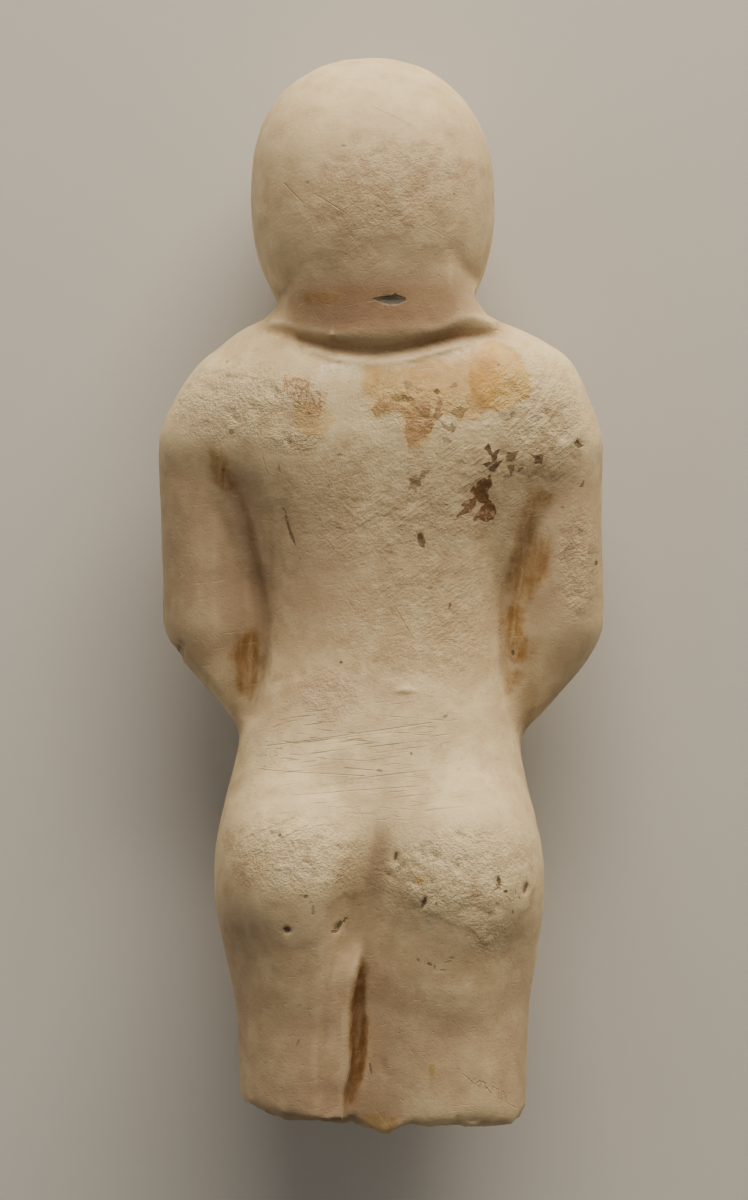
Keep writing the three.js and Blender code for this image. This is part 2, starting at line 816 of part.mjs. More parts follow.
const carved = new THREE.BufferGeometry();
carved.setAttribute(
  "position",
  new THREE.Float32BufferAttribute(stone.points.flatMap((p) => [p.x, p.y, p.z]), 3),
);
carved.setIndex(stone.triangles.flat());
const floorThickness = 20;
const floorBlock = new THREE.BoxGeometry(2 * length, 2 * length, floorThickness);
floorBlock.translate(0, 0, -floorThickness / 2);
const rested = solidOf(carved).subtract(solidOf(floorBlock));

const limestone = new THREE.MeshStandardMaterial({ color: 0xc9b191, roughness: 0.72, metalness: 0 });
const statuette = new THREE.Mesh(geometryOf(rested), limestone);
statuette.name = "statuette";

const group = new THREE.Group();
group.name = "offering_bearer";
group.add(statuette);
export default group;
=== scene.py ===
# Offering bearer statuette: a broken limestone figure lying on its front, looked down on from above.
# Sculpting sizes are millimetres: x to the right, y to the crown, z up out of the figure's back.
import math

import bpy
import numpy as np
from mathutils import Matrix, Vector


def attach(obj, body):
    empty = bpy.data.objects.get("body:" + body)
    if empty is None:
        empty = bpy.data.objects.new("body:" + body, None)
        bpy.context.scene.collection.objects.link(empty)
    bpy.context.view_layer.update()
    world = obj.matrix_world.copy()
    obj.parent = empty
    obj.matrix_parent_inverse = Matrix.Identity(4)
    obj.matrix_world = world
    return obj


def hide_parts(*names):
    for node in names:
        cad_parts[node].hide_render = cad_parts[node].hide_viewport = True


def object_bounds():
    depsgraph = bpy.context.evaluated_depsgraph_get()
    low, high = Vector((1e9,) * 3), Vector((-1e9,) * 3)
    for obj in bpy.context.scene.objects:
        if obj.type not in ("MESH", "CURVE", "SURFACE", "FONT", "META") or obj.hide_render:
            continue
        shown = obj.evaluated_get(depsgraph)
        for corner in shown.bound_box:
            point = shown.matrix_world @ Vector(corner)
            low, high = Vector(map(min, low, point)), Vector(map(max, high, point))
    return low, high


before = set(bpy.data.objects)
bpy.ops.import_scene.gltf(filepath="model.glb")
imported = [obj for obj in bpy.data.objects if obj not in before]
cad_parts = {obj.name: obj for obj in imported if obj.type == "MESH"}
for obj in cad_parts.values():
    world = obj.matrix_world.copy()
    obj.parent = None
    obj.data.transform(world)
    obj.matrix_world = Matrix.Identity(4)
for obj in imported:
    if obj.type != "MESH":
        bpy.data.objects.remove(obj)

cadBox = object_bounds()
print("frame: loaded", [round(v, 4) for v in cadBox[0]], [round(v, 4) for v in cadBox[1]])


def pickOnly(thing):
    bpy.ops.object.select_all(action="DESELECT")
    thing.select_set(True)
    bpy.context.view_layer.objects.active = thing


def applyModifier(thing, kind, **settings):
    pickOnly(thing)
    modifier = thing.modifiers.new(kind.lower(), kind)
    for name, value in settings.items():
        setattr(modifier, name, value)
    bpy.ops.object.modifier_apply(modifier=modifier.name)


def readVectors(collection, name):
    values = np.empty(len(collection) * 3, np.float32)
    collection.foreach_get(name, values)
    return values.reshape(-1, 3).astype(float)


def writePlaces(mesh, points):
    mesh.vertices.foreach_set("co", (points / 1000).astype(np.float32).ravel())
    mesh.update()


def softStep(low, high, values):
    t = np.clip((values - low) / (high - low), 0, 1)
    return t * t * (3 - 2 * t)


def fadeBetween(values, start, full, fullEnd, end):
    # 0 outside start and end, 1 between full and fullEnd
    return softStep(start, full, values) * softStep(end, fullEnd, values)


def bell(values):
    return np.clip(1 - np.minimum(np.abs(values), 1) ** 2, 0, 1) ** 2


def wander(points, size, seed):
    # a smooth random field from about -1 to 1, with one bump to each size
    table = np.random.default_rng(seed).uniform(-1, 1, 4096)
    cells = points / size
    corner = np.floor(cells).astype(np.int64)
    part = cells - corner
    part = part * part * (3 - 2 * part)
    total = np.zeros(len(points))
    for i in range(8):
        step = np.array([i & 1, i >> 1 & 1, i >> 2 & 1])
        at = corner + step
        slot = (at[:, 0] * 73856093 ^ at[:, 1] * 19349663 ^ at[:, 2] * 83492791) & 4095
        total += np.prod(np.where(step, part, 1 - part), axis=1) * table[slot]
    return total


def bumps(points, layers):
    # smooth random fields added up: (size, height, seed)
    return sum(height * wander(points, size, seed) for size, height, seed in layers)


def nearPath(points, path):
    # distance to a line drawn on the back, which side of it, and the line's own numbers there
    path = np.array(path, float)
    best = np.full(len(points), 1e9)
    side = np.zeros(len(points))
    extra = np.zeros((len(points), path.shape[1] - 2))
    for a, b in zip(path, path[1:]):
        run = b[:2] - a[:2]
        t = np.clip((points[:, :2] - a[:2]) @ run / (run @ run), 0, 1)[:, None]
        off = points[:, :2] - a[:2] - t * run
        away = np.hypot(off[:, 0], off[:, 1])
        closer = away < best
        best[closer] = away[closer]
        side[closer] = (np.sign(run[0] * off[:, 1] - run[1] * off[:, 0]) * away)[closer]
        extra[closer] = (a[2:] + t * (b[2:] - a[2:]))[closer]
    return best, side, extra


def inBlob(points, blob):
    # an oval on the back: 0 in the middle, 1 on its rim
    x, y, wide, tall, turn = blob[:5]
    c, s = math.cos(math.radians(turn)), math.sin(math.radians(turn))
    dx, dy = points[:, 0] - x, points[:, 1] - y
    return np.hypot((dx * c + dy * s) / wide, (dy * c - dx * s) / tall)


def spread(points, blobs):
    # soft ovals joined into one field
    amount = np.zeros(len(points))
    for blob in blobs:
        amount = np.maximum(amount, blob[5] * softStep(1.35, 0.45, inBlob(points, blob)))
    return amount


farAway = {"stain": 8.0, "speck": 9.0, "scratch": 20.0}      # what is written where no mark is near


def outlineDepth(points, outlines):
    # millimetres inside the nearest outline (minus outside it), and that outline's strength
    depth = np.full(len(points), -farAway["stain"])
    strength = np.zeros(len(points))
    for force, outline in outlines:
        ring = np.array(outline, float)
        low, high = ring.min(axis=0) - 4, ring.max(axis=0) + 4
        near = np.flatnonzero(np.all((points[:, :2] > low) & (points[:, :2] < high), axis=1))
        spot = points[near]
        away = nearPath(spot, np.vstack([ring, ring[:1]]))[0]
        inside = np.zeros(len(near), bool)
        for a, b in zip(ring, np.roll(ring, -1, axis=0)):
            crosses = (a[1] > spot[:, 1]) != (b[1] > spot[:, 1])
            reach = a[0] + (spot[:, 1] - a[1]) / (b[1] - a[1] + 1e-12) * (b[0] - a[0])
            inside ^= crosses & (spot[:, 0] < reach)
        signed = np.where(inside, away, -away)
        deeper = signed > depth[near]
        depth[near[deeper]] = signed[deeper]
        strength[near[deeper]] = force
    return depth, strength


# The stone begins as the frame's own skin, subdivided and remeshed fine enough to carve.
stoneSkin = {
    "name": "limestone_figure",
    "voxel": 0.0005,        # metres
    "smoothing": 4,
    "smoothingAfterNape": 2,
    "smoothFactor": 0.5,
    "triangles": 172000,
    # round the small sharp marks the faces are halved again: reach in mm, rounds, only above this height
    "refine": {"reach": 0.7, "rounds": 2, "above": 25},
}


def remeshStone(smoothing):
    applyModifier(stone, "REMESH", mode="VOXEL", voxel_size=stoneSkin["voxel"], use_smooth_shade=True)
    applyModifier(stone, "SMOOTH", factor=stoneSkin["smoothFactor"], iterations=smoothing)


stone = bpy.data.objects.new(stoneSkin["name"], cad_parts["statuette"].data.copy())
bpy.context.scene.collection.objects.link(stone)
stone.data.materials.clear()
pickOnly(stone)
bpy.ops.object.mode_set(mode="EDIT")
bpy.ops.mesh.select_all(action="SELECT")
bpy.ops.mesh.remove_doubles(threshold=1e-6)
bpy.ops.object.mode_set(mode="OBJECT")
applyModifier(stone, "SUBSURF", levels=1, render_levels=1)
remeshStone(stoneSkin["smoothing"])
print("stone: skin of", len(stone.data.vertices), "points")

# Broad changes to the back: the cap runs smoothly out to a lip over the nape, with a low wall under it.
backShape = {
    # across the nape: x, lip's y, wall foot's y, lip's z, foot's z, rise of the cap above the lip
    "nape": [
        (-22.5, 49.4, 48.4, 33.2, 32.6, -2.2), (-20.5, 49.7, 48.0, 35.4, 34.6, -1.7),
        (-18.0, 49.2, 47.3, 37.4, 36.6, -0.12), (-15.0, 48.6, 46.3, 39.5, 38.1, 0.18),
        (-11.0, 47.3, 44.9, 41.6, 40.2, 0.17), (-7.0, 46.8, 43.8, 42.9, 41.4, 0.15),
        (-3.0, 46.5, 43.2, 43.6, 41.7, 0.13), (0.0, 46.4, 43.2, 43.7, 41.8, 0.12),
        (4.0, 46.4, 43.8, 43.6, 41.7, 0.11), (8.0, 47.2, 44.9, 43.0, 41.2, 0.07),
        (12.0, 48.6, 46.0, 42.3, 40.2, -0.03), (15.0, 50.3, 46.8, 41.1, 38.9, -0.10),
        (18.0, 50.4, 47.0, 39.0, 37.5, -0.9), (20.5, 49.4, 47.0, 36.7, 36.2, -2.2),
        (22.5, 48.3, 46.8, 34.6, 34.4, -2.2),
    ],
    "napeBlend": (-2.4, -1.2, 0, 1.2, 2.4),     # the columns are averaged over these offsets
    "napeAcross": (-22.4, -20, 20.5, 22.4),     # where the change fades in and out across the body
    "napeAlong": (40, 42, 61, 64),              # and along it
    "wallCurve": 1.8,
    # below the wall's foot: slope of the back, depth of the groove, where the change ends and how fast
    "belowFoot": {"slope": 0.62, "groove": 0.25, "end": 2.2, "fade": 3.0},
    # (x, y, half width, half height, turn, raise)
    "swells": [
        (-15.0, -68.0, 13.0, 12.5, 0, 1.2), (13.8, -69.0, 13.5, 12.5, 0, 1.35),
    ],
    # the shoulders slope down to the hollows between arms and sides
    "shoulderSlope": {
        "startY": 24, "startZ": 39.6, "atX": 23, "outward": 0.45, "fall": 0.36,
        "across": (18.5, 22, 30.5, 34.5), "along": (-3, 3, 22, 26)},
    # the left thigh runs level up to this sharp edge over the slot: (y, x), with its height there
    "thighEdge": [
        (-97.0, -6.6), (-93.0, -6.4), (-89.4, -6.0), (-86.9, -5.5), (-80.0, -5.6), (-76.0, -5.3), (-72.6, -4.8),
        (-69.8, -4.3), (-66.0, -3.6)],
    "thighEdgeHeight": 45.2,
    "thighEdgeFall": 0.12,
}


def liftTo(weight, gap, softness, start):
    # fills a gap upwards only, with a soft join
    return weight * 0.5 * (gap + np.sqrt(gap ** 2 + softness)) * softStep(start, 0, gap)


def reshapeBack(mesh, plan):
    points = readVectors(mesh.vertices, "co") * 1000
    normals = readVectors(mesh.vertex_normals, "vector")
    x, y, z = points[:, 0], points[:, 1], points[:, 2]
    columns = np.array(plan["nape"]).T
    lipY, footY, lipZ, footZ, rise = (
        np.mean([np.interp(x + near, columns[0], row) for near in plan["napeBlend"]], axis=0)
        for row in columns[1:])
    up = np.clip((y - footY) / (lipY - footY), 0, 1)
    wanted = footZ + (lipZ - footZ) * (1 - (1 - up) ** plan["wallCurve"])
    wanted += rise * np.maximum(y - lipY, 0)
    below, foot = np.maximum(footY - y, 0), plan["belowFoot"]
    wanted += (foot["slope"] * below - foot["groove"] * softStep(0, 0.4, below)
               - foot["fade"] * np.maximum(below - foot["end"], 0))
    lift = liftTo(1, wanted - z, 0.25, -0.6)
    lift *= (fadeBetween(x, *plan["napeAcross"]) * fadeBetween(y, *plan["napeAlong"])
             * softStep(24, 29, z) * softStep(-0.95, -0.6, normals[:, 2]))
    onBack = softStep(0.0, 0.4, normals[:, 2]) * softStep(20, 26, z)
    for swell in plan["swells"]:
        lift += onBack * swell[5] * bell(inBlob(points, swell))
    slope = plan["shoulderSlope"]
    wanted = slope["startZ"] - slope["outward"] * (abs(x) - slope["atX"]) - slope["fall"] * (slope["startY"] - y)
    beside = fadeBetween(abs(x), *slope["across"]) * fadeBetween(y, *slope["along"])
    lift += liftTo(onBack * beside, wanted - z - lift, 0.3, -0.8)
    edge = np.array(plan["thighEdge"])
    edgeX = np.interp(y, edge[:, 0], edge[:, 1])
    shelf = plan["thighEdgeHeight"] - plan["thighEdgeFall"] * (x - edgeX)
    onShelf = softStep(edgeX + 0.2, edgeX - 0.4, x) * softStep(-17, -9, x) * softStep(-62, -70, y)
    lift += onBack * onShelf * np.maximum(shelf - z, 0)
    points[:, 2] += lift
    return points


writePlaces(stone.data, reshapeBack(stone.data, backShape))
remeshStone(stoneSkin["smoothingAfterNape"])
print("stone: back shaped")

# Carving and damage, pushed in and out along the skin.
carving = {
    # soft unevenness of hand work: bump size, height
    "unevenness": [(13, 0.22), (5.5, 0.11), (2.4, 0.045)],
    # random fields: (size, height, seed)
    "ragged": [(2.6, 0.5, 5), (1.1, 0.3, 6)],
    "crumbs": [(2.6, 0.35, 20), (1.5, 0.45, 21), (0.8, 0.35, 22)],
    "roughBreak": [(4.2, 0.55, 31), (1.7, 0.35, 32), (0.9, 0.2, 33)],
    "crumbHeight": 0.28,
    "pitDepth": 0.36,
    "seatEdgeHeight": 0.13,
    # lines drawn on the back: (x, y, half width, push)
    "strokes": {
        "slotBetweenLegs": [
            (-2.8, -67.0, 0.7, 0), (-3.6, -70.5, 1.0, -0.5), (-3.9, -74.0, 1.2, -0.6), (-4.1, -79.0, 1.6, -0.8),
            (-4.1, -84.0, 1.6, -0.9), (-4.7, -88.0, 1.5, -0.8), (-5.6, -91.5, 1.3, -0.6), (-6.0, -94.5, 1.0, 0)],
        "spineFurrow": [
            (1.3, 21.0, 5, 0), (1.1, 3.9, 5, -0.25), (0.6, -13.2, 4.5, -0.35), (0.3, -28.2, 5, -0.3),
            (-0.2, -41.3, 6, 0)],
        "leftArmCrease": [
            (-28.6, 22.2, 3.2, 0), (-26.0, 14.1, 2.4, -0.35), (-23.4, 3.9, 2.2, -0.5), (-22.2, -6.1, 2.4, -0.7),
            (-22.9, -14.2, 2.6, -0.7), (-24.4, -22.5, 2.2, -0.2)],
        "rightArmCrease": [
            (28.5, 15.0, 3.4, 0), (25.5, 6.0, 2.6, -0.4), (23.4, -3.2, 2.4, -0.6), (23.4, -12.7, 2.4, -0.6),
            (23.6, -21.2, 2.2, 0)],
        "buttockCleft": [
            (0.3, -39.3, 3.2, 0), (-0.3, -47.3, 3.0, -0.45), (-1.1, -54.3, 3.0, -0.5), (-2.1, -61.4, 3.0, -0.2),
            (-2.8, -66.4, 2.4, 0)],
        "lowerBackCut": [
            (-19.8, -28.7, 1.3, 0), (-11.8, -27.2, 1.5, -0.12), (-1.7, -25.4, 1.5, -0.14), (9.3, -23.8, 1.2, 0)],
        "lowerBackFold": [
            (-24.0, -37.0, 1.6, 0), (-14.0, -36.2, 1.8, -0.12), (-2.0, -34.6, 1.8, -0.14), (8.0, -33.4, 1.6, 0)],
    },
    # dents and chips: (x, y, half width, half height, turn, push)
    "dents": [
        (1.4, 52.7, 3.0, 1.1, 4, -0.3), (-17.0, -61.0, 1.1, 1.0, 0, -0.7), (-38.5, -11.4, 2.2, 3.0, -35, -0.8),
        (21.0, -52.6, 1.1, 2.0, 14, -0.35), (26.2, -54.1, 1.0, 1.7, -22, -0.4), (2.5, -48.1, 0.9, 1.6, -15, -0.3),
        (7.6, -56.1, 1.0, 1.5, -18, -0.35), (-8.0, -60.8, 1.0, 1.5, -25, -0.3), (6.2, 19.6, 1.6, 1.4, 30, -0.25),
        (7.2, 9.4, 0.9, 1.7, 0, -0.25), (18.7, 17.0, 3.0, 4.0, 10, -0.22), (21.3, 24.0, 3.6, 1.6, 40, -0.18),
        (36.4, 27.2, 1.2, 1.0, 0, -0.3), (-9.1, 46.6, 1.0, 0.6, 20, 0.35), (-17.0, 11.0, 0.7, 3.4, 12, -0.2),
        (4.4, -18.1, 3.2, 0.8, 0, 0.3), (-19.5, 36.5, 2.0, 0.9, -40, -0.25), (-19.0, 27.6, 2.2, 0.7, -30, 0.25),
        (0.5, -86.5, 1.2, 3.0, 10, -0.2), (34.8, 6.0, 2.0, 9.0, 0, -0.2),
    ],
    # eroded places: (x, y, half width, half height, turn, strength)
    "eroded": [
        (1.6, 72.9, 17.6, 9.3, 15, 0.4), (-27.3, 34.5, 13.0, 7.7, 0, 0.85), (29.0, 33.1, 10.5, 11.3, 20, 0.7),
        (3.4, 17.4, 22.6, 14.5, 0, 0.42), (-16.5, 27.6, 6, 2.6, 0, 1), (-15.0, -47.7, 12.8, 7.6, 0, 0.8),
        (13.1, -50.7, 15.0, 8.4, 8, 0.8), (-9.4, -19.1, 7.9, 5.3, 0, 0.5), (36.4, 5.7, 4.2, 10.9, 0, 0.6),
        (5.2, -5.7, 15.6, 16.4, 0, 0.35), (6.3, 33.0, 12, 5, -6, 0.7), (-13.9, 34.3, 4.3, 4.9, 0, 0.8),
        (19, -60.5, 4, 5, 20, 0.7),
    ],
    # the eroded skin stands over the smoother thigh and ends along these ragged lines: how torn, (x, y)
    "seatEdges": {
        "left": (-0.2, [
            (-27.1, -54.2), (-23.7, -55.4), (-19.1, -56.1), (-14.6, -56.2), (-9.3, -55.6), (-5.7, -55.0)]),
        "right": (0.5, [
            (1.9, -52.3), (3.3, -55.0), (5.5, -56.6), (9.8, -58.3), (12.6, -59.9), (15.9, -61.4), (17.8, -63.9),
            (19.2, -65.3), (21.0, -62.7), (23.6, -61.0), (25.8, -58.2), (27.3, -55.3)]),
    },
}


def sculpt(mesh, plan):
    points = readVectors(mesh.vertices, "co") * 1000
    normals = readVectors(mesh.vertex_normals, "vector")
    onBack = softStep(-0.05, 0.35, normals[:, 2]) * softStep(14, 20, points[:, 2])
    onFloor = softStep(0.9, 0.25, points[:, 2])
    push = np.zeros(len(points))
    for number, (size, height) in enumerate(plan["unevenness"]):
        push += height * wander(points + number * 37.1, size, 11 + number)
    # the face and hands stay crisp, and so do the flats that the figure lies on
    fineWork = softStep(12, 8, points[:, 2]) * (softStep(48, 56, points[:, 1]) + softStep(-10, -16, points[:, 1]))
    push *= 1 - 0.75 * np.clip(fineWork, 0, 1)

    ragged = bumps(points, plan["ragged"])
    for path in plan["strokes"].values():
        away, _, extra = nearPath(points, path)
        push += onBack * extra[:, 1] * bell(away / np.maximum(extra[:, 0], 0.1) * (1 + 0.2 * ragged))
    for dent in plan["dents"]:
        push += softStep(-0.3, 0.1, normals[:, 2]) * dent[5] * bell(inBlob(points, dent) + 0.3 * ragged)

    eroded = np.zeros(len(points))
    for blob in plan["eroded"]:
        rim = inBlob(points, blob) + 0.4 * ragged
        eroded = np.maximum(eroded, onBack * blob[5] * softStep(1.25, 0.5, rim))
    crumbs = bumps(points, plan["crumbs"])
    push += eroded * (plan["crumbHeight"] * crumbs - plan["pitDepth"] * np.clip(-crumbs - 0.25, 0, 1))
    for tear, path in plan["seatEdges"].values():
        away, side, _ = nearPath(points, path)
        over = softStep(-0.5, 0.5, side + 1.6 * ragged) - 0.5
        torn = softStep(-0.2, 0.6, wander(points, 5.0, 8) + tear)
        push += onBack * bell(away / 8) * plan["seatEdgeHeight"] * torn * over

    broken = softStep(-0.55, -0.85, normals[:, 1]) * softStep(-90, -95, points[:, 1])
    push += broken * bumps(points, plan["roughBreak"])

    points += normals * (push * (1 - onFloor))[:, None]
    points[:, 2] = np.maximum(points[:, 2], 0)
    return points


def keepInBox(points, lows, highs):
    for axis in range(3):
        points[:, axis] = np.clip(points[:, axis], lows[axis] * 1000, highs[axis] * 1000)
    return points


writePlaces(stone.data, keepInBox(sculpt(stone.data, carving), *cadBox))
applyModifier(stone, "DECIMATE", ratio=min(1, stoneSkin["triangles"] / (2 * len(stone.data.polygons))))
print("stone: carved, now", len(stone.data.polygons), "faces")

